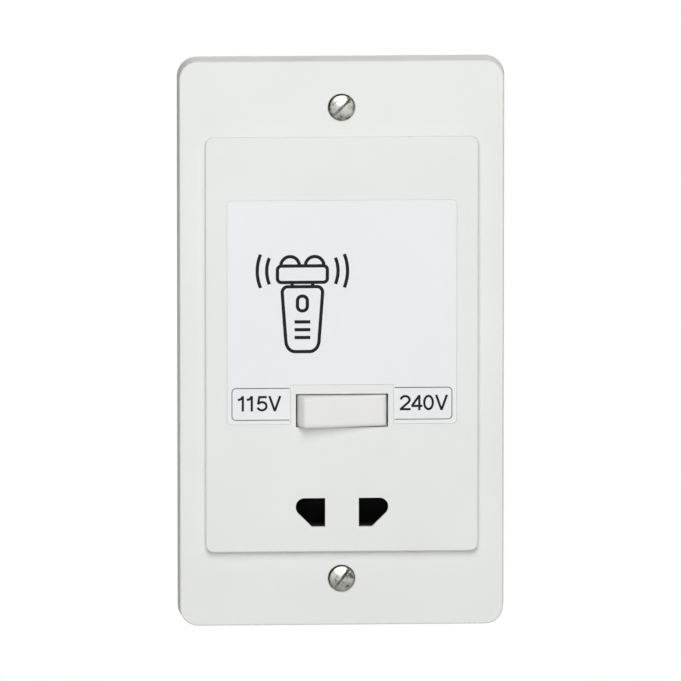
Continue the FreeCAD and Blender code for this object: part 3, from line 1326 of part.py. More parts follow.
make_front_plate()
make_label()
make_fixing_screws()
make_rocker()
make_plunger()
make_plunger_spring()
make_seesaw()
make_common_terminal()
make_tap("tap_contact_right", "1")
make_tap("tap_contact_left", "-1")
make_chassis()
tapping_screw = make_tapping_screw()
copies("chassis_screws", tapping_screw, [(across, EAR_BACK_Y, up) for across, up in CHASSIS_SCREWS])
copies("strap_screws", tapping_screw,
       [(across, "pillar_back + strap_thick", up) for across, up in STRAP_FEET])
make_shutter()
make_shutter_springs()
make_contact_block()
make_socket_contact("socket_contact_right", "1")
make_socket_contact("socket_contact_left", "-1")
make_switch()
make_switch_button()
make_core()
make_bobbin()
make_winding("secondary_winding", "core_level + flange_thick / 2")
make_winding("primary_winding", f"core_level - flange_thick / 2 - {WINDING_HEIGHT}")
make_winding_lugs()
make_cutout()
make_strap("upper_strap", "+")
make_strap("lower_strap", "-")
make_mains_block()
make_mains_terminals()
make_leads()

doc.recompute()
for thing in doc.Objects:
    if {"Invalid", "Error"} & set(thing.State):
        raise RuntimeError(f"{thing.Label} failed: {thing.State}")
for thing in NODES:
    if thing.Shape.isNull() or not thing.Shape.isValid():
        raise RuntimeError(f"{thing.Label} has no valid shape")

os.makedirs("parts", exist_ok=True)
for thing in NODES:
    thing.Shape.exportStep(f"parts/{thing.Label}.step")
    box = thing.Shape.BoundBox
    print(thing.Label, len(thing.Shape.Solids), round(thing.Shape.Volume, 1), box)
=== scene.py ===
import json
import math

import bmesh
import bpy
from mathutils import Matrix, Vector


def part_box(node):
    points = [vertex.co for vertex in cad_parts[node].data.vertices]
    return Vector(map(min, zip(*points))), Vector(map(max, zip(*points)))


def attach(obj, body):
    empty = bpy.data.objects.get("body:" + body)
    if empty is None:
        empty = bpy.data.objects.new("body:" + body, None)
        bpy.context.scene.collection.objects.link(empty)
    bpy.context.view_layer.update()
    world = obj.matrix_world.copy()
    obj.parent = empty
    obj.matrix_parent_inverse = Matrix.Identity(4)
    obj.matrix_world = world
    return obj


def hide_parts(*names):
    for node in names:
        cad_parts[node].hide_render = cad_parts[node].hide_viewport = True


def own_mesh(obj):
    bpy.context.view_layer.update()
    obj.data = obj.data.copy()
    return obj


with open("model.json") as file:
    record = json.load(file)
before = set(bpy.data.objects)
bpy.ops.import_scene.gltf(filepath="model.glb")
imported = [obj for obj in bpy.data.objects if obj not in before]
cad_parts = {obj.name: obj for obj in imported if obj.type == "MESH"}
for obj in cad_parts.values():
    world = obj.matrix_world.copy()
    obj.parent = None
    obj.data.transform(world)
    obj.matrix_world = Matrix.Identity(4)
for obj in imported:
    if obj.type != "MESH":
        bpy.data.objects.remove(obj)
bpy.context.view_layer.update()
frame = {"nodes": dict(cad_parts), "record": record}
nodes = frame["nodes"]
MM = 0.001

# Shader building blocks

EDGE_SAMPLES = 8


def clear_tree(owner, output_kind):
    """The emptied node tree of a material or a world, with a new output node."""
    owner.use_nodes = True
    tree = owner.node_tree
    tree.nodes.clear()
    return tree, tree.nodes.new(output_kind)


def new_material(name):
    """A material with its node tree and a Principled shader."""
    made = bpy.data.materials.new(name)
    tree, output = clear_tree(made, "ShaderNodeOutputMaterial")
    shader = tree.nodes.new("ShaderNodeBsdfPrincipled")
    tree.links.new(shader.outputs["BSDF"], output.inputs["Surface"])
    return made, tree, shader


def object_place(tree):
    return tree.nodes.new("ShaderNodeTexCoord").outputs["Object"]


def noise(tree, scale, detail, roughness=0.55, stretch=None):
    """Noise in object space; scale counts features per metre, stretch scales the axes."""
    texture = tree.nodes.new("ShaderNodeTexNoise")
    texture.inputs["Scale"].default_value = scale
    texture.inputs["Detail"].default_value = detail
    texture.inputs["Roughness"].default_value = roughness
    place = object_place(tree)
    if stretch:
        mapping = tree.nodes.new("ShaderNodeMapping")
        mapping.inputs["Scale"].default_value = stretch
        tree.links.new(place, mapping.inputs["Vector"])
        place = mapping.outputs["Vector"]
    tree.links.new(place, texture.inputs["Vector"])
    return texture.outputs["Fac"]


def ramp(tree, source, stops, socket):
    """A colour ramp into a socket, from (position, colour) stops; a number stands for a grey."""
    node = tree.nodes.new("ShaderNodeValToRGB")
    while len(node.color_ramp.elements) < len(stops):
        node.color_ramp.elements.new(0.5)
    for element, (position, colour) in zip(node.color_ramp.elements, stops):
        element.position = position
        grey = isinstance(colour, (int, float))
        element.color = (colour, colour, colour, 1) if grey else (*colour, 1)
    tree.links.new(source, node.inputs["Fac"])
    tree.links.new(node.outputs["Color"], socket)


def bump(tree, shader, source, depth, strength, below=None):
    """Relief of that depth in metres on a shader, over the normal below it."""
    node = tree.nodes.new("ShaderNodeBump")
    node.inputs["Strength"].default_value = strength
    node.inputs["Distance"].default_value = depth
    tree.links.new(source, node.inputs["Height"])
    if below:
        tree.links.new(below, node.inputs["Normal"])
    tree.links.new(node.outputs["Normal"], shader.inputs["Normal"])
    return node.outputs["Normal"]


def shade(colour, factor):
    return tuple(min(1.0, channel * factor) for channel in colour)


def round_edges(tree, radius):
    """A normal that rounds sharp edges by that radius."""
    node = tree.nodes.new("ShaderNodeBevel")
    node.samples = EDGE_SAMPLES
    node.inputs["Radius"].default_value = radius
    return node.outputs["Normal"]


# Materials

CLOUD_SCALE = 38.0
GLOSS_SCALE = 160.0
WAVE_SCALE = 55.0
WAVE_DEPTH = 0.12 * MM
PATCH_SCALE = 420.0
DRAWN_SCALE = 2200.0
METAL_SPREAD = 0.08
SCRATCH_DEPTH = 0.006 * MM
WORN_SCALE = 480.0
WORN_DRAWN_SCALE = 2600.0
WORN_DEPTH = 0.008 * MM
INK_SCALE = 3000.0
SHEET_SCALE = 320.0
RUST_SCALE = 240.0
SHEET_DEPTH = 0.08 * MM
WIRE_SCALE = 900.0
WIRE_DEPTH = 0.08 * MM


def moulded(name, colour, roughness, spread, grain=0.004, fine=2600.0, edge=0.0, shine=0.5):
    """Moulded plastic: faint cloudy colour, uneven gloss and a fine pebbled skin.

    spread is how much the colour varies, grain the depth of the pebbles in millimetres,
    fine their count per metre, and edge the radius that rounds sharp edges, in metres.
    """
    made, tree, shader = new_material(name)
    tones = [(0.3, shade(colour, 1 - spread)), (0.7, shade(colour, 1 + spread))]
    ramp(tree, noise(tree, CLOUD_SCALE, detail=4.0), tones, shader.inputs["Base Color"])
    gloss = [(0.3, roughness - 0.05), (0.7, roughness + 0.06)]
    ramp(tree, noise(tree, GLOSS_SCALE, detail=5.0), gloss, shader.inputs["Roughness"])
    rounded = round_edges(tree, edge) if edge else None
    waves = noise(tree, WAVE_SCALE, detail=2.0)
    wavy = bump(tree, shader, waves, WAVE_DEPTH, strength=0.12, below=rounded)
    bump(tree, shader, noise(tree, fine, detail=2.0), grain * MM, strength=0.5, below=wavy)
    shader.inputs["Specular IOR Level"].default_value = shine
    return made


def metal(name, colour, roughness, stretch=(1, 1, 1)):
    """Rolled or plated metal with drawn lines and a few dull patches."""
    made, tree, shader = new_material(name)
    shader.inputs["Metallic"].default_value = 1.0
    patches = noise(tree, PATCH_SCALE, detail=6.0, roughness=0.65)
    tones = [(0.25, shade(colour, 1 - METAL_SPREAD)), (0.75, shade(colour, 1 + METAL_SPREAD / 2))]
    ramp(tree, patches, tones, shader.inputs["Base Color"])
    lines = noise(tree, DRAWN_SCALE, detail=6.0, roughness=0.7, stretch=stretch)
    gloss = [(0.3, roughness - 0.08), (0.7, roughness + 0.12)]
    ramp(tree, lines, gloss, shader.inputs["Roughness"])
    bump(tree, shader, lines, SCRATCH_DEPTH, strength=0.6)
    return made


def worn_and_shaded_plating(name, colour, painted_shade_colour):
    """Plated screw metal: drawn lines, dull patches, and near-black painted shade where the
    screw's shade attribute says.
    """
    made, tree, shader = new_material(name)
    shader.inputs["Metallic"].default_value = 1.0
    # Near-black painted shade, mixed into the plating where the screw's shade attribute is high
    mix = tree.nodes.new("ShaderNodeMix")
    mix.data_type = "RGBA"
    tones = [(0.36, shade(colour, 0.16)), (0.46, shade(colour, 0.72)), (0.62, colour)]
    ramp(tree, noise(tree, WORN_SCALE, detail=4.0, roughness=0.6), tones, mix.inputs["A"])
    mix.inputs["B"].default_value = (*painted_shade_colour, 1)
    painted_shade = tree.nodes.new("ShaderNodeAttribute")
    painted_shade.attribute_name = "painted_shade"
    tree.links.new(painted_shade.outputs["Fac"], mix.inputs["Factor"])
    tree.links.new(mix.outputs["Result"], shader.inputs["Base Color"])
    lines = noise(tree, WORN_DRAWN_SCALE, detail=6.0, roughness=0.7, stretch=(1.0, 1.0, 0.25))
    ramp(tree, lines, [(0.3, 0.16), (0.7, 0.34)], shader.inputs["Roughness"])
    bump(tree, shader, lines, WORN_DEPTH, strength=0.7)
    return made


def ink(name, colour):
    """Printed ink, a little uneven."""
    made, tree, shader = new_material(name)
    grain = noise(tree, INK_SCALE, detail=4.0)
    tones = [(0.3, shade(colour, 0.8)), (0.8, shade(colour, 1.5))]
    ramp(tree, grain, tones, shader.inputs["Base Color"])
    ramp(tree, grain, [(0.3, 0.45), (0.7, 0.6)], shader.inputs["Roughness"])
    shader.inputs["Specular IOR Level"].default_value = 0.1
    return made


def laminated(name):
    """Varnished steel sheets with a little rust: fine lines through the stack, along Y."""
    made, tree, shader = new_material(name)
    shader.inputs["Metallic"].default_value = 0.75
    sheets = tree.nodes.new("ShaderNodeTexWave")
    sheets.bands_direction = "Y"
    sheets.inputs["Scale"].default_value = SHEET_SCALE
    sheets.inputs["Distortion"].default_value = 0.4
    tree.links.new(object_place(tree), sheets.inputs["Vector"])
    rust = noise(tree, RUST_SCALE, detail=6.0, roughness=0.7)
    tones = [(0.3, (0.055, 0.055, 0.06)), (0.6, (0.13, 0.13, 0.135)), (0.8, (0.20, 0.13, 0.085))]
    ramp(tree, rust, tones, shader.inputs["Base Color"])
    ramp(tree, rust, [(0.3, 0.32), (0.8, 0.62)], shader.inputs["Roughness"])
    bump(tree, shader, sheets.outputs["Fac"], SHEET_DEPTH, strength=0.7)
    return made


def wound(name, colour):
    """Enamelled wire in rows round Z."""
    made, tree, shader = new_material(name)
    shader.inputs["Metallic"].default_value = 0.85
    rows = noise(tree, WIRE_SCALE, detail=3.0, roughness=0.5, stretch=(0.05, 0.05, 1.0))
    tones = [(0.3, shade(colour, 0.62)), (0.7, shade(colour, 1.15))]
    ramp(tree, rows, tones, shader.inputs["Base Color"])
    ramp(tree, rows, [(0.3, 0.22), (0.7, 0.4)], shader.inputs["Roughness"])
    bump(tree, shader, rows, WIRE_DEPTH, strength=0.5)
    shader.inputs["Coat Weight"].default_value = 0.4
    shader.inputs["Coat Roughness"].default_value = 0.15
    return made


MOULDINGS = {
    "plate_white": dict(
        colour=(0.800, 0.812, 0.790), roughness=0.55, spread=0.012, edge=0.06 * MM, shine=0.06),
    "label_white": dict(
        colour=(0.822, 0.833, 0.842), roughness=0.50, spread=0.01, grain=0.003, fine=4200.0,
        edge=0.1 * MM, shine=0.1),
    "rocker_white": dict(
        colour=(0.812, 0.808, 0.790), roughness=0.42, spread=0.012, grain=0.002,
        edge=1.6 * MM, shine=0.15),
    "black_moulding": dict(
        colour=(0.022, 0.022, 0.024), roughness=0.48, spread=0.15, grain=0.008, fine=1900.0),
    "shutter_black": dict(
        colour=(0.005, 0.005, 0.005), roughness=0.55, spread=0.2, grain=0.006, fine=1900.0,
        shine=0.12),
    "natural_nylon": dict(colour=(0.72, 0.67, 0.53), roughness=0.42, spread=0.05),
    "cutout_case": dict(colour=(0.07, 0.07, 0.075), roughness=0.4, spread=0.1),
    "button_red": dict(colour=(0.48, 0.03, 0.025), roughness=0.33, spread=0.05),
}
LEAD_ROUGHNESS = 0.42
LEAD_GRAIN = 0.002
LEAD_COLOURS = {
    "lead_brown": dict(colour=(0.17, 0.065, 0.025), spread=0.08),
    "lead_blue": dict(colour=(0.03, 0.09, 0.36), spread=0.08),
    "lead_black": dict(colour=(0.02, 0.02, 0.02), spread=0.12),
    "lead_white": dict(colour=(0.70, 0.70, 0.67), spread=0.03),
    "lead_red": dict(colour=(0.46, 0.028, 0.02), spread=0.08),
    "lead_yellow": dict(colour=(0.66, 0.42, 0.02), spread=0.06),
}
METALS = {
    "zinc": dict(colour=(0.45, 0.46, 0.48), roughness=0.34),
    "spring_steel": dict(colour=(0.50, 0.50, 0.50), roughness=0.30),
    "contact_brass": dict(colour=(0.74, 0.55, 0.26), roughness=0.27, stretch=(1, 0.06, 1)),
    "tinned": dict(colour=(0.72, 0.72, 0.70), roughness=0.33),
}
OWN_FINISHES = {"shutter": "shutter_black"}

finishes = {
    # The screw plating holds near-black painted shade on the head rims and slot floors
    "nickel": worn_and_shaded_plating("nickel", (0.60, 0.60, 0.54), painted_shade_colour=(0.010, 0.011, 0.009)),
    "core_steel": laminated("core_steel"),
    "enamelled_copper": wound("enamelled_copper", (0.60, 0.25, 0.10)),
}
for name, look in MOULDINGS.items():
    finishes[name] = moulded(name, **look)
for name, look in LEAD_COLOURS.items():
    finishes[name] = moulded(name, roughness=LEAD_ROUGHNESS, grain=LEAD_GRAIN, **look)
for name, look in METALS.items():
    finishes[name] = metal(name, **look)

slots = {part["node"]: part["material_slot"] for part in frame["record"]["subparts"]}
for name, slot in slots.items():
    mesh = nodes[name].data
    mesh.materials.clear()
    mesh.materials.append(finishes[OWN_FINISHES.get(name, slot)])

# Pieces that replace plain CAD solids or lie on them; sizes are in millimetres


def add_piece(name, data, finish, body="unit"):
    """A new piece in the object's frame, riding on a body."""
    data.materials.append(finish)
    piece = bpy.data.objects.new(name, data)
    bpy.context.scene.collection.objects.link(piece)
    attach(piece, body)
    return piece


def stand_in(name, data, *replaced):
    """A new piece in the place of CAD nodes, with their finish."""
    slot = slots[replaced[0]]
    piece = add_piece(name, data, finishes[slot])
    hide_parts(*replaced)
    return piece


def mesh_of(name, points, faces, smooth=True):
    """A mesh from points in millimetres."""
    made = bpy.data.meshes.new(name)
    made.from_pydata([tuple(value * MM for value in point) for point in points], [], faces)
    made.polygons.foreach_set("use_smooth", [smooth] * len(faces))
    made.update()
    return made


def tube_faces(rows, columns):
    """Quads between rows of points, each row a closed ring, and a face at either end."""
    faces = []
    for row in range(rows - 1):
        low, high = row * columns, (row + 1) * columns
        for column in range(columns):
            after = (column + 1) % columns
            faces.append((low + column, low + after, high + after, high + column))
    last = (rows - 1) * columns
    faces.append(tuple(reversed(range(columns))))
    faces.append(tuple(range(last, last + columns)))
    return faces


def quarter_signs(quarter):
    """The signs of the two axes in a quarter of the circle."""
    return (1 if quarter in (0, 3) else -1), (1 if quarter in (0, 1) else -1)


# Leads, on the routes that the CAD leads take

LEAD_RADIUS = 0.8
LEAD_ROUND_STEPS = 4
LEAD_BEND_STEPS = 10
LEAD_ROUTES = {
    "lead_live": [
        (19.0, 17.5, -32.5), (19.0, 28.5, -32.5), (4.75, 28.0, -33.8), (4.75, 14.8, -33.8)],
    "lead_switched": [
        (-4.75, 14.8, -33.8), (-4.75, 25.0, -33.8), (-5.6, 33.5, -22.0),
        (-5.0, 39.4, -8.5), (-4.5, 40.25, 3.5), (-4.5, 40.25, 14.45)],
    "lead_neutral": [
        (19.0, 17.5, -25.5), (19.0, 27.0, -25.5), (17.8, 36.0, -15.5),
        (14.4, 40.2, -4.0), (13.0, 40.25, 5.5), (13.0, 40.25, 14.45)],
    "lead_zero": [
        (-13.0, 40.25, 36.95), (-13.0, 40.25, 19.5), (-13.8, 41.0, 0.5), (-13.2, 39.8, -19.0),
        (-12.25, 38.0, -33.0), (-12.25, 37.4, -42.9), (-12.25, 27.5, -42.9)],
    "lead_high_tap": [
        (-9.0, 40.25, 36.95), (-9.0, 40.25, 19.5), (-9.3, 40.9, 2.0),
        (-9.7, 36.5, -10.5), (-10.0, 28.5, -16.8), (-10.0, 18.5, -16.8)],
    "lead_low_tap": [
        (9.0, 40.25, 36.95), (9.0, 40.25, 20.0), (9.5, 40.8, 2.5),
        (9.8, 36.0, -10.8), (10.0, 28.0, -16.8), (10.0, 18.5, -16.8)],
    "lead_common": [
        (0.0, 18.5, -16.8), (0.0, 29.0, -16.8), (4.6, 35.6, -24.5),
        (9.4, 38.6, -32.2), (12.25, 38.4, -42.9), (12.25, 27.5, -42.9)],
}


def make_leads():
    """Round insulated wires along smooth lines."""
    for node, route in LEAD_ROUTES.items():
        curve = bpy.data.curves.new(f"{node}_wire", "CURVE")
        curve.dimensions = "3D"
        curve.bevel_depth = LEAD_RADIUS * MM
        curve.bevel_resolution = LEAD_ROUND_STEPS
        curve.use_fill_caps = True
        spline = curve.splines.new("NURBS")
        spline.points.add(len(route) - 1)
        for point, (x, y, z) in zip(spline.points, route):
            point.co = (x * MM, y * MM, z * MM, 1)
        spline.order_u = 3
        spline.use_endpoint_u = True
        spline.resolution_u = LEAD_BEND_STEPS
        stand_in(f"{node}_wire", curve, node)


# Windings, with their turns of wire

TURN_COUNT = 24
TURN_STEPS = 5
WINDING_CORNER = 3.0
CORNER_STEPS = 6


def make_winding(name, node):
    """Turns of round wire, laid close, round a box with rounded corners."""
    low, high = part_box(node)
    low, high = Vector(low) / MM, Vector(high) / MM
    pitch = (high.z - low.z) / TURN_COUNT
    points = []
    rows = TURN_COUNT * TURN_STEPS + 1
    for row in range(rows):
        share = row / TURN_STEPS % 1.0
        inset = pitch / 2 * (1 - math.sqrt(max(0.0, 1 - (2 * share - 1) ** 2)))
        reach = WINDING_CORNER - inset
        z = low.z + row / TURN_STEPS * pitch
        for quarter in range(4):
            right, back = quarter_signs(quarter)
            centre_x = (high.x if right > 0 else low.x) - right * WINDING_CORNER
            centre_y = (high.y if back > 0 else low.y) - back * WINDING_CORNER
            for step in range(CORNER_STEPS + 1):
                angle = (quarter + step / CORNER_STEPS) * math.pi / 2
                x, y = centre_x + reach * math.cos(angle), centre_y + reach * math.sin(angle)
                points.append((x, y, z))
    faces = tube_faces(rows, 4 * (CORNER_STEPS + 1))
    stand_in(name, mesh_of(name, points, faces), node)


# Springs of the shutter


def make_springs():
    """The shutter's return springs, which in the real socket shorten as it rises, copied whole
    from the CAD coils.
    """
    coils = nodes["shutter_springs"].data.copy()
    coils.name = "return_springs"
    coils.materials.clear()
    piece = stand_in("return_springs", coils, "shutter_springs")
    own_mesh(piece)


# Fixing screws, each made about the Y axis

SCREW_PITCH = 120.6
UPPER_SLOT_TURN = 45.0
LOWER_SLOT_TURN = 52.0
ROUND_STEPS = 48
SHARP_ANGLE = math.radians(35)

HEAD_RADIUS = 3.45
HEAD_FRONT = -7.05
HEAD_RIM = 3.05
DOME_MIDDLE = 0.02
DOME_RISE = 0.64
DOME_STEPS = 12
RIM_DEPTH = 0.42
RIM_STEPS = 5
NECK = (-4.3, 1.5)

SLOT_WIDTH = 0.68
SLOT_FLOOR = -6.15
CUTTER_DEPTH = 3.0
BOX_SIDES = [(0, 1, 3, 2), (4, 6, 7, 5), (0, 4, 5, 1), (2, 3, 7, 6), (0, 2, 6, 4), (1, 5, 7, 3)]

THREAD_STEP = 0.6
THREAD_CREST = 1.75
THREAD_ROOT = 1.48
THREAD_START = -0.8
THREAD_END = 23.2
THREAD_ROWS = 6
FADE_IN = 0.9
FADE_OUT = 1.2
BLUNT_POINT = ((THREAD_END + 0.5, 1.2), (THREAD_END + 0.8, 0.7))

# Painted shade on the screw heads: a dark ring at the rim, darkest above and to the left, and a
# dark slot floor
PAINTED_SHADE_DEPTH = -4.0
PAINTED_SHADE_INSET = 0.1
PAINTED_SHADE_BAND = 0.12
PAINTED_SHADE_MEAN = 0.68
PAINTED_SHADE_SWING = 0.42
PAINTED_SHADE_SIDE = (-0.6, 0.8)
PAINTED_SHADE_LIMIT = 0.8
SLOT_PAINTED_SHADE = 0.4
SLOT_NEAR = 0.02


def ring(depth, radii):
    """Points round the Y axis at that depth, one for each radius."""
    angles = [2 * math.pi * step / ROUND_STEPS for step in range(ROUND_STEPS)]
    return [(radius * math.cos(angle), depth, radius * math.sin(angle))
            for angle, radius in zip(angles, radii)]


def head_profile():
    """(depth, radius) of the domed head from its middle to the neck."""
    rows = []
    for step in range(DOME_STEPS + 1):
        radius = max(DOME_MIDDLE, HEAD_RIM * step / DOME_STEPS)
        rows.append((HEAD_FRONT + DOME_RISE * (radius / HEAD_RIM) ** 2, radius))
    front = rows[-1][0]
    for step in range(1, RIM_STEPS + 1):
        angle = step / RIM_STEPS * math.pi / 2
        depth = front + RIM_DEPTH * (1 - math.cos(angle))
        rows.append((depth, HEAD_RIM + (HEAD_RADIUS - HEAD_RIM) * math.sin(angle)))
    return rows + [NECK]


def thread_rings():
    """Rings of the threaded shank, without its blunt point."""
    rings = []
    length = THREAD_END - THREAD_START
    count = int(length / THREAD_STEP * THREAD_ROWS)
    for row in range(count + 1):
        depth = THREAD_START + length * row / count
        fade = min(1.0, (depth - THREAD_START) / FADE_IN, (THREAD_END - depth) / FADE_OUT)
        radii = []
        for step in range(ROUND_STEPS):
            share = (depth / THREAD_STEP - step / ROUND_STEPS) % 1.0
            ridge = 1 - abs(2 * share - 1)
            radii.append(THREAD_ROOT + (THREAD_CREST - THREAD_ROOT) * ridge * max(0.0, fade))
        rings.append(ring(depth, radii))
    return rings


def slot_cutter(turn):
    """Corners of the box that cuts the slot, turned by degrees."""
    half, long = SLOT_WIDTH / 2, 2 * HEAD_RADIUS
    depths = (SLOT_FLOOR - CUTTER_DEPTH, SLOT_FLOOR)
    corners = [(x, y, z) for x in (-long, long) for y in depths for z in (-half, half)]
    turning = Matrix.Rotation(-math.radians(turn), 3, "Y")
    return [tuple(turning @ Vector(corner)) for corner in corners]


def scratch_object(name, points, faces):
    """An object for a cut, with its normals facing out."""
    data = bpy.data.meshes.new(name)
    data.from_pydata(points, [], faces)
    work = bmesh.new()
    work.from_mesh(data)
    bmesh.ops.recalc_face_normals(work, faces=work.faces)
    work.to_mesh(data)
    work.free()
    made = bpy.data.objects.new(name, data)
    bpy.context.scene.collection.objects.link(made)
    return made


def slotted_screw(turn):
    """Points and faces of one screw: domed head, slot turned by degrees, threaded shank."""
    rings = [ring(depth, [radius] * ROUND_STEPS) for depth, radius in head_profile()]
    rings += thread_rings()
    rings += [ring(depth, [radius] * ROUND_STEPS) for depth, radius in BLUNT_POINT]
    points = [point for row in rings for point in row]
    screw = scratch_object("screw_body", points, tube_faces(len(rings), ROUND_STEPS))
    cutter = scratch_object("screw_cutter", slot_cutter(turn), BOX_SIDES)
    cut = screw.modifiers.new("slot", "BOOLEAN")
    cut.operation = "DIFFERENCE"
    cut.object = cutter
    cut.solver = "EXACT"
    ready = screw.evaluated_get(bpy.context.evaluated_depsgraph_get())
    result = bpy.data.meshes.new_from_object(ready)
    points = [tuple(vertex.co) for vertex in result.vertices]
    faces = [tuple(face.vertices) for face in result.polygons]
    unwanted = [result, screw.data, cutter.data]
    for thing in (screw, cutter):
        bpy.data.objects.remove(thing)
    for data in unwanted:
        bpy.data.meshes.remove(data)
    return points, faces


def painted_shade_at(x, y, z):
    """How much painted shade a screw gets there: a dark ring on its rim, darkest above and to the
    left, where shadow falls, and the floor of its slot.
    """
    radius = math.hypot(x, z)
    rim = 0.0
    if y < PAINTED_SHADE_DEPTH:
        rim = min(1.0, max(0.0, (radius - HEAD_RIM + PAINTED_SHADE_INSET) / PAINTED_SHADE_BAND))
    lean = (PAINTED_SHADE_SIDE[1] * z + PAINTED_SHADE_SIDE[0] * x) / HEAD_RADIUS
    shaded = PAINTED_SHADE_MEAN + PAINTED_SHADE_SWING * max(-1.0, min(PAINTED_SHADE_LIMIT, lean))
    in_slot = abs(y - SLOT_FLOOR) < SLOT_NEAR and radius < HEAD_RIM
    return max(rim * shaded, SLOT_PAINTED_SHADE if in_slot else 0.0)


def make_screws():
    """Both fixing screws, as one piece with an attribute that paints shade on their rims and slot
    floors.
    """
    points, faces, painted_shade = [], [], []
    for level, turn in ((SCREW_PITCH / 2, UPPER_SLOT_TURN), (-SCREW_PITCH / 2, LOWER_SLOT_TURN)):
        some, sides = slotted_screw(turn)
        first = len(points)
        points += [(x, y, z + level) for x, y, z in some]
        faces += [tuple(first + index for index in side) for side in sides]
        painted_shade += [painted_shade_at(*point) for point in some]
    made = mesh_of("slotted_screws", points, faces)
    made.set_sharp_from_angle(angle=SHARP_ANGLE)
    made.attributes.new("painted_shade", "FLOAT", "POINT").data.foreach_set("value", painted_shade)
    stand_in("slotted_screws", made, "fixing_screws")


# Print on the label: voltage marks, their frames and a shaver sign

LABEL_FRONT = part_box("label_insert")[0][1] / MM
INK_LIFT = 0.012
STROKE_LIFT = 0.0004
MITRE_LIMIT = 0.35
DARK_INK = (0.012, 0.012, 0.014)
GREY_INK = (0.045, 0.047, 0.055)


def arc(x, z, wide, high, start, end, steps):
    """Points of an elliptical arc about (x, z), its angles in degrees."""
    angles = [math.radians(start + (end - start) * step / steps) for step in range(steps + 1)]
    return [(x + wide * math.cos(angle), z + high * math.sin(angle)) for angle in angles]


def ribbon(points, width, closed):
    """Both sides of a line of that width, as a strip of quads with mitred corners."""
    path = [Vector(point) for point in points]
    count = len(path)
    strip = []
    for index, point in enumerate(path):
        before = path[index - 1] if index or closed else None
        after = path[(index + 1) % count] if index < count - 1 or closed else None
        incoming = (point - before if before is not None else after - point).normalized()
        outgoing = (after - point).normalized() if after is not None else incoming
        normal = Vector((-incoming.y - outgoing.y, incoming.x + outgoing.x)).normalized()
        across = Vector((-outgoing.y, outgoing.x))
        reach = width / 2 / max(MITRE_LIMIT, normal.dot(across))
        strip += [tuple(point + normal * reach), tuple(point - normal * reach)]
    faces = []
    for step in range(count if closed else count - 1):
        here, there = 2 * step, 2 * ((step + 1) % count)
        faces.append((here, here + 1, there + 1, there))
    return strip, faces


def printed(name, strokes, finish):
    """Strokes of ink on the label; each is (points, width, closed) in X and Z."""
    points, faces = [], []
    for number, (path, width, closed) in enumerate(strokes):
        strip, sides = ribbon(path, width, closed)
        first = len(points)
        depth = LABEL_FRONT - INK_LIFT - STROKE_LIFT * number
        points += [(x, depth, z) for x, z in strip]
        faces += [tuple(first + index for index in side) for side in sides]
    piece = add_piece(name, mesh_of(name, points, faces, smooth=False), finish)
    work = bmesh.new()
    work.from_mesh(piece.data)
    for face in work.faces:
        if face.normal.y > 0:
            face.normal_flip()
    work.to_mesh(piece.data)
    work.free()


# Voltage marks: lines of each letter in shares of the cap height, and each letter's left side

CAP_HEIGHT = 3.92
CAP_LINE = 0.148
HALF_LINE = CAP_LINE / 2
LETTER_BASE = -16.84
LOW_MARK = [("1", -26.34), ("1", -24.08), ("5", -21.66), ("V", -18.57)]
HIGH_MARK = [("2", 14.58), ("4", 17.52), ("0", 20.53), ("V", 23.58)]
GLYPHS = {
    "1": [[(0.0, 0.755), (0.13, 0.77), (0.22, 0.82), (0.28, 0.90), (0.305, 1.0)],
          [(0.325, 1.0), (0.325, 0.0)]],
    "2": [arc(0.36, 0.69, 0.28, 0.24, 175, -40, 20) + [(0.24, 0.235), (0.09, 0.10)],
          [(0.01, HALF_LINE), (0.71, HALF_LINE)]],
    "4": [[(0.52, 1.0), (0.52, 0.0)],
          [(0.495, 0.93), (0.06, 0.315)],
          [(0.01, 0.285), (0.72, 0.285)]],
    "5": [[(0.675, 0.93), (0.195, 0.93), (0.11, 0.46)],
          [(0.10, 0.475)] + arc(0.365, 0.335, 0.29, 0.265, 142, -162, 26)],
    "0": [arc(0.345, 0.5, 0.275, 0.43, 0, 360, 40)],
    "V": [[(0.055, 1.0), (0.385, HALF_LINE), (0.425, HALF_LINE), (0.755, 1.0)]],
}


def lettering(letters, base):
    """Strokes of plain sans-serif letters, each with the place of its left side."""
    strokes = []
    for letter, left in letters:
        closed = letter == "0"
        for line in GLYPHS[letter]:
            path = [(left + x * CAP_HEIGHT, base + z * CAP_HEIGHT) for x, z in line]
            strokes.append((path[:-1] if closed else path, CAP_LINE * CAP_HEIGHT, closed))
    return strokes


# Frames round the voltage marks

FRAME_OUT = 27.81
FRAME_IN = 13.3
FRAME_TOP = -10.98
FRAME_LOW = -19.11
FRAME_CORNER = 1.0
FRAME_LINE = 0.2


def mark_frame(side):
    """A frame with two round corners that opens towards the rocker; side is -1 or 1."""
    outward = 180 if side < 0 else 0
    middle = side * FRAME_OUT - side * FRAME_CORNER
    upper, lower = FRAME_TOP - FRAME_CORNER, FRAME_LOW + FRAME_CORNER
    path = [(side * FRAME_IN, FRAME_TOP)]
    for level, start, end in ((upper, 90, outward), (lower, outward, outward - 90 * side)):
        path += arc(middle, level, FRAME_CORNER, FRAME_CORNER, start, end, CORNER_STEPS)
    path.append((side * FRAME_IN, FRAME_LOW))
    return path, FRAME_LINE, False


# Shaver sign, drawn about its own middle

SIGN_X = -10.0
SIGN_Z = 11.6
SIGN_LINE = 0.85
GRIP_LEVELS = (-5.6, -7.6, -9.6)
HUM_LEVEL = 7.4
HUM_REACHES = (9.0, 11.4)
HUM_HALF = 22


def rounded_box(x, z, half_x, half_z, corner):
    """A closed line round a box with round corners."""
    path = []
    for quarter in range(4):
        right, above = quarter_signs(quarter)
        path += arc(x + right * (half_x - corner), z + above * (half_z - corner), corner, corner,
                    90 * quarter, 90 * quarter + 90, CORNER_STEPS)
    return path


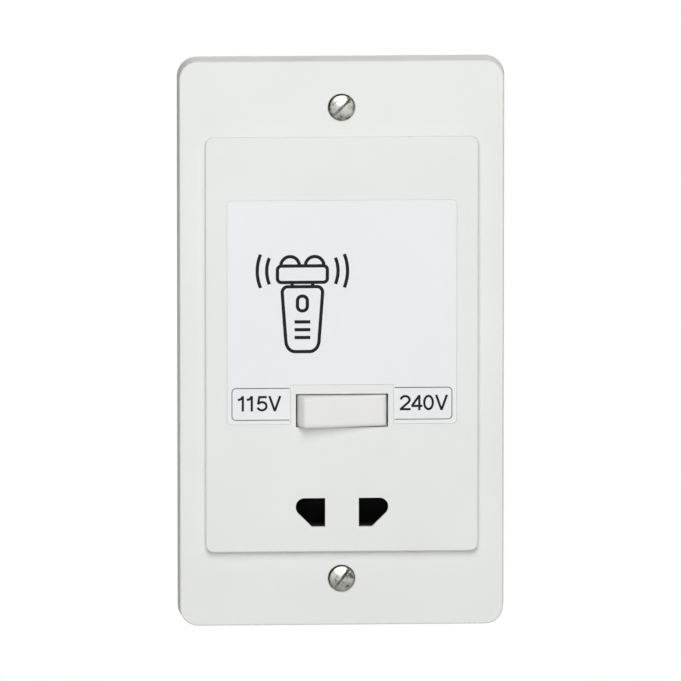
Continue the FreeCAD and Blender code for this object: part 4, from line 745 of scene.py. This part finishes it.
def shaver_sign():
    """An electric shaver from the front: body, switch, grip lines, two foils and its hum."""
    body = arc(-1.9, -10.3, 2.3, 2.9, 180, 270, 8) + arc(1.9, -10.3, 2.3, 2.9, 270, 360, 8)
    body.append((4.75, -3.0))
    body += arc(3.75, 1.9, 1.35, 1.5, 0, 90, 8) + arc(-3.75, 1.9, 1.35, 1.5, 90, 180, 8)
    body.append((-4.75, -3.0))
    head = rounded_box(0, 6.6, 6.3, 2.1, 1.0)
    switch = rounded_box(0, -0.9, 1.25, 1.9, 1.2)
    lines = [arc(place, 8.7, 2.35, 2.4, 180, 0, 16) for place in (-3.1, 3.1)]
    lines += [[(-2.0, level), (2.0, level)] for level in GRIP_LEVELS]
    lines += [[(place, 3.4), (place, 4.5)] for place in (-2.6, 2.6)]
    for reach in HUM_REACHES:
        for way in (0, 180):
            lines.append(arc(0, HUM_LEVEL, reach, reach, way - HUM_HALF, way + HUM_HALF, 14))
    strokes = [(path, True) for path in (body, head, switch)] + [(path, False) for path in lines]
    return [([(SIGN_X + x, SIGN_Z + z) for x, z in path], SIGN_LINE, closed)
            for path, closed in strokes]


def make_print():
    dark = ink("print_ink", DARK_INK)
    grey = ink("frame_ink", GREY_INK)
    printed("voltage_marks", lettering(LOW_MARK + HIGH_MARK, LETTER_BASE), dark)
    printed("mark_frames", [mark_frame(-1), mark_frame(1)], grey)
    printed("shaver_sign", shaver_sign(), dark)


make_leads()
make_winding("secondary_turns", "secondary_winding")
make_winding("primary_turns", "primary_winding")
make_springs()
make_screws()
make_print()

# Stage, light and camera, in metres

FLOOR_LEVEL = -0.2
FLOOR_HALF = 12.0
FLOOR_COLOUR = (0.86, 0.86, 0.86)
WHITE_FROM = 0.25
WHITE_BEYOND = 0.6
WHITE = (1, 1, 1, 1)
WORLD_STRENGTH = 0.10
LAMPS = {
    "key": dict(place=(-0.04, -1.1, 0.7), target=(0, 0, 0), size=(0.8, 1.05), power=15.1),
    "rear": dict(place=(0.35, 1.6, 0.4), target=(0, 0.02, 0), size=(1.2, 1.0), power=11.0),
}
CAMERA_AZIMUTH = math.radians(-2.5)
CAMERA_ELEVATION = math.radians(9.5)
CAMERA_DISTANCE = 4.0
SENSOR_WIDTH = 36.0
CLIP_END = 50.0
FRAME_WIDTH = 0.17201
AIM = Vector((-0.000272, -0.006, 0.000753))


def combine(tree, operation, first, second):
    """The result of a maths node with two inputs."""
    node = tree.nodes.new("ShaderNodeMath")
    node.operation = operation
    tree.links.new(first, node.inputs[0])
    tree.links.new(second, node.inputs[1])
    return node.outputs[0]


def mix_shaders(tree, output, factor, first, second):
    """The output's surface: the first shader where the factor is 0, the second where it is 1."""
    mix = tree.nodes.new("ShaderNodeMixShader")
    tree.links.new(factor, mix.inputs["Fac"])
    tree.links.new(first, mix.inputs[1])
    tree.links.new(second, mix.inputs[2])
    tree.links.new(mix.outputs["Shader"], output.inputs["Surface"])


def seen_rays(tree):
    """1 for rays from the camera, reflections and glass, which see plain white."""
    path = tree.nodes.new("ShaderNodeLightPath")
    reached = path.outputs["Is Camera Ray"]
    for kind in ("Is Glossy Ray", "Is Transmission Ray"):
        reached = combine(tree, "MAXIMUM", reached, path.outputs[kind])
    return reached


def floor_material(name):
    """A pale matt surface that the camera sees as plain white far from the object."""
    made = bpy.data.materials.new(name)
    tree, output = clear_tree(made, "ShaderNodeOutputMaterial")
    matt = tree.nodes.new("ShaderNodeBsdfDiffuse")
    matt.inputs["Color"].default_value = (*FLOOR_COLOUR, 1)
    white = tree.nodes.new("ShaderNodeEmission")
    white.inputs["Strength"].default_value = 1.0
    distance = tree.nodes.new("ShaderNodeVectorMath")
    distance.operation = "LENGTH"
    tree.links.new(object_place(tree), distance.inputs[0])
    far = tree.nodes.new("ShaderNodeMapRange")
    far.interpolation_type = "SMOOTHSTEP"
    far.inputs["From Min"].default_value = WHITE_FROM
    far.inputs["From Max"].default_value = WHITE_BEYOND
    tree.links.new(distance.outputs["Value"], far.inputs["Value"])
    factor = combine(tree, "MULTIPLY", seen_rays(tree), far.outputs["Result"])
    mix_shaders(tree, output, factor, matt.outputs["BSDF"], white.outputs["Emission"])
    return made


def make_floor():
    half = FLOOR_HALF
    corners = [(-half, -half, 0), (half, -half, 0), (half, half, 0), (-half, half, 0)]
    mesh = bpy.data.meshes.new("floor")
    mesh.from_pydata(corners, [], [(0, 1, 2, 3)])
    floor = bpy.data.objects.new("floor", mesh)
    floor.location = (0, 0, FLOOR_LEVEL)
    mesh.materials.append(floor_material("floor_white"))
    bpy.context.scene.collection.objects.link(floor)


def make_world():
    """Dim even light, seen as plain white."""
    world = bpy.data.worlds.new("studio")
    bpy.context.scene.world = world
    tree, output = clear_tree(world, "ShaderNodeOutputWorld")
    light = tree.nodes.new("ShaderNodeBackground")
    light.inputs["Color"].default_value = WHITE
    light.inputs["Strength"].default_value = WORLD_STRENGTH
    white = tree.nodes.new("ShaderNodeBackground")
    white.inputs["Color"].default_value = WHITE
    mix_shaders(tree, output, seen_rays(tree), light.outputs["Background"],
                white.outputs["Background"])


def make_lamp(name, place, target, size, power):
    lamp = bpy.data.lights.new(name, "AREA")
    lamp.shape = "RECTANGLE"
    lamp.size, lamp.size_y = size
    lamp.energy = power
    holder = bpy.data.objects.new(name, lamp)
    holder.location = place
    aim = Vector(target) - Vector(place)
    holder.rotation_euler = aim.to_track_quat("-Z", "Y").to_euler()
    bpy.context.scene.collection.objects.link(holder)


def make_camera():
    level = math.cos(CAMERA_ELEVATION)
    back = Vector((math.sin(CAMERA_AZIMUTH) * level, -math.cos(CAMERA_AZIMUTH) * level,
                   math.sin(CAMERA_ELEVATION)))
    lens = bpy.data.cameras.new("camera")
    lens.sensor_width = SENSOR_WIDTH
    lens.lens = SENSOR_WIDTH * CAMERA_DISTANCE / FRAME_WIDTH
    lens.clip_end = CLIP_END
    camera = bpy.data.objects.new("camera", lens)
    camera.location = AIM + back * CAMERA_DISTANCE
    camera.rotation_euler = (-back).to_track_quat("-Z", "Y").to_euler()
    bpy.context.scene.collection.objects.link(camera)
    bpy.context.scene.camera = camera


make_floor()
make_world()
for name, lamp in LAMPS.items():
    make_lamp(name, **lamp)
make_camera()
bpy.context.scene.view_settings.view_transform = "Standard"
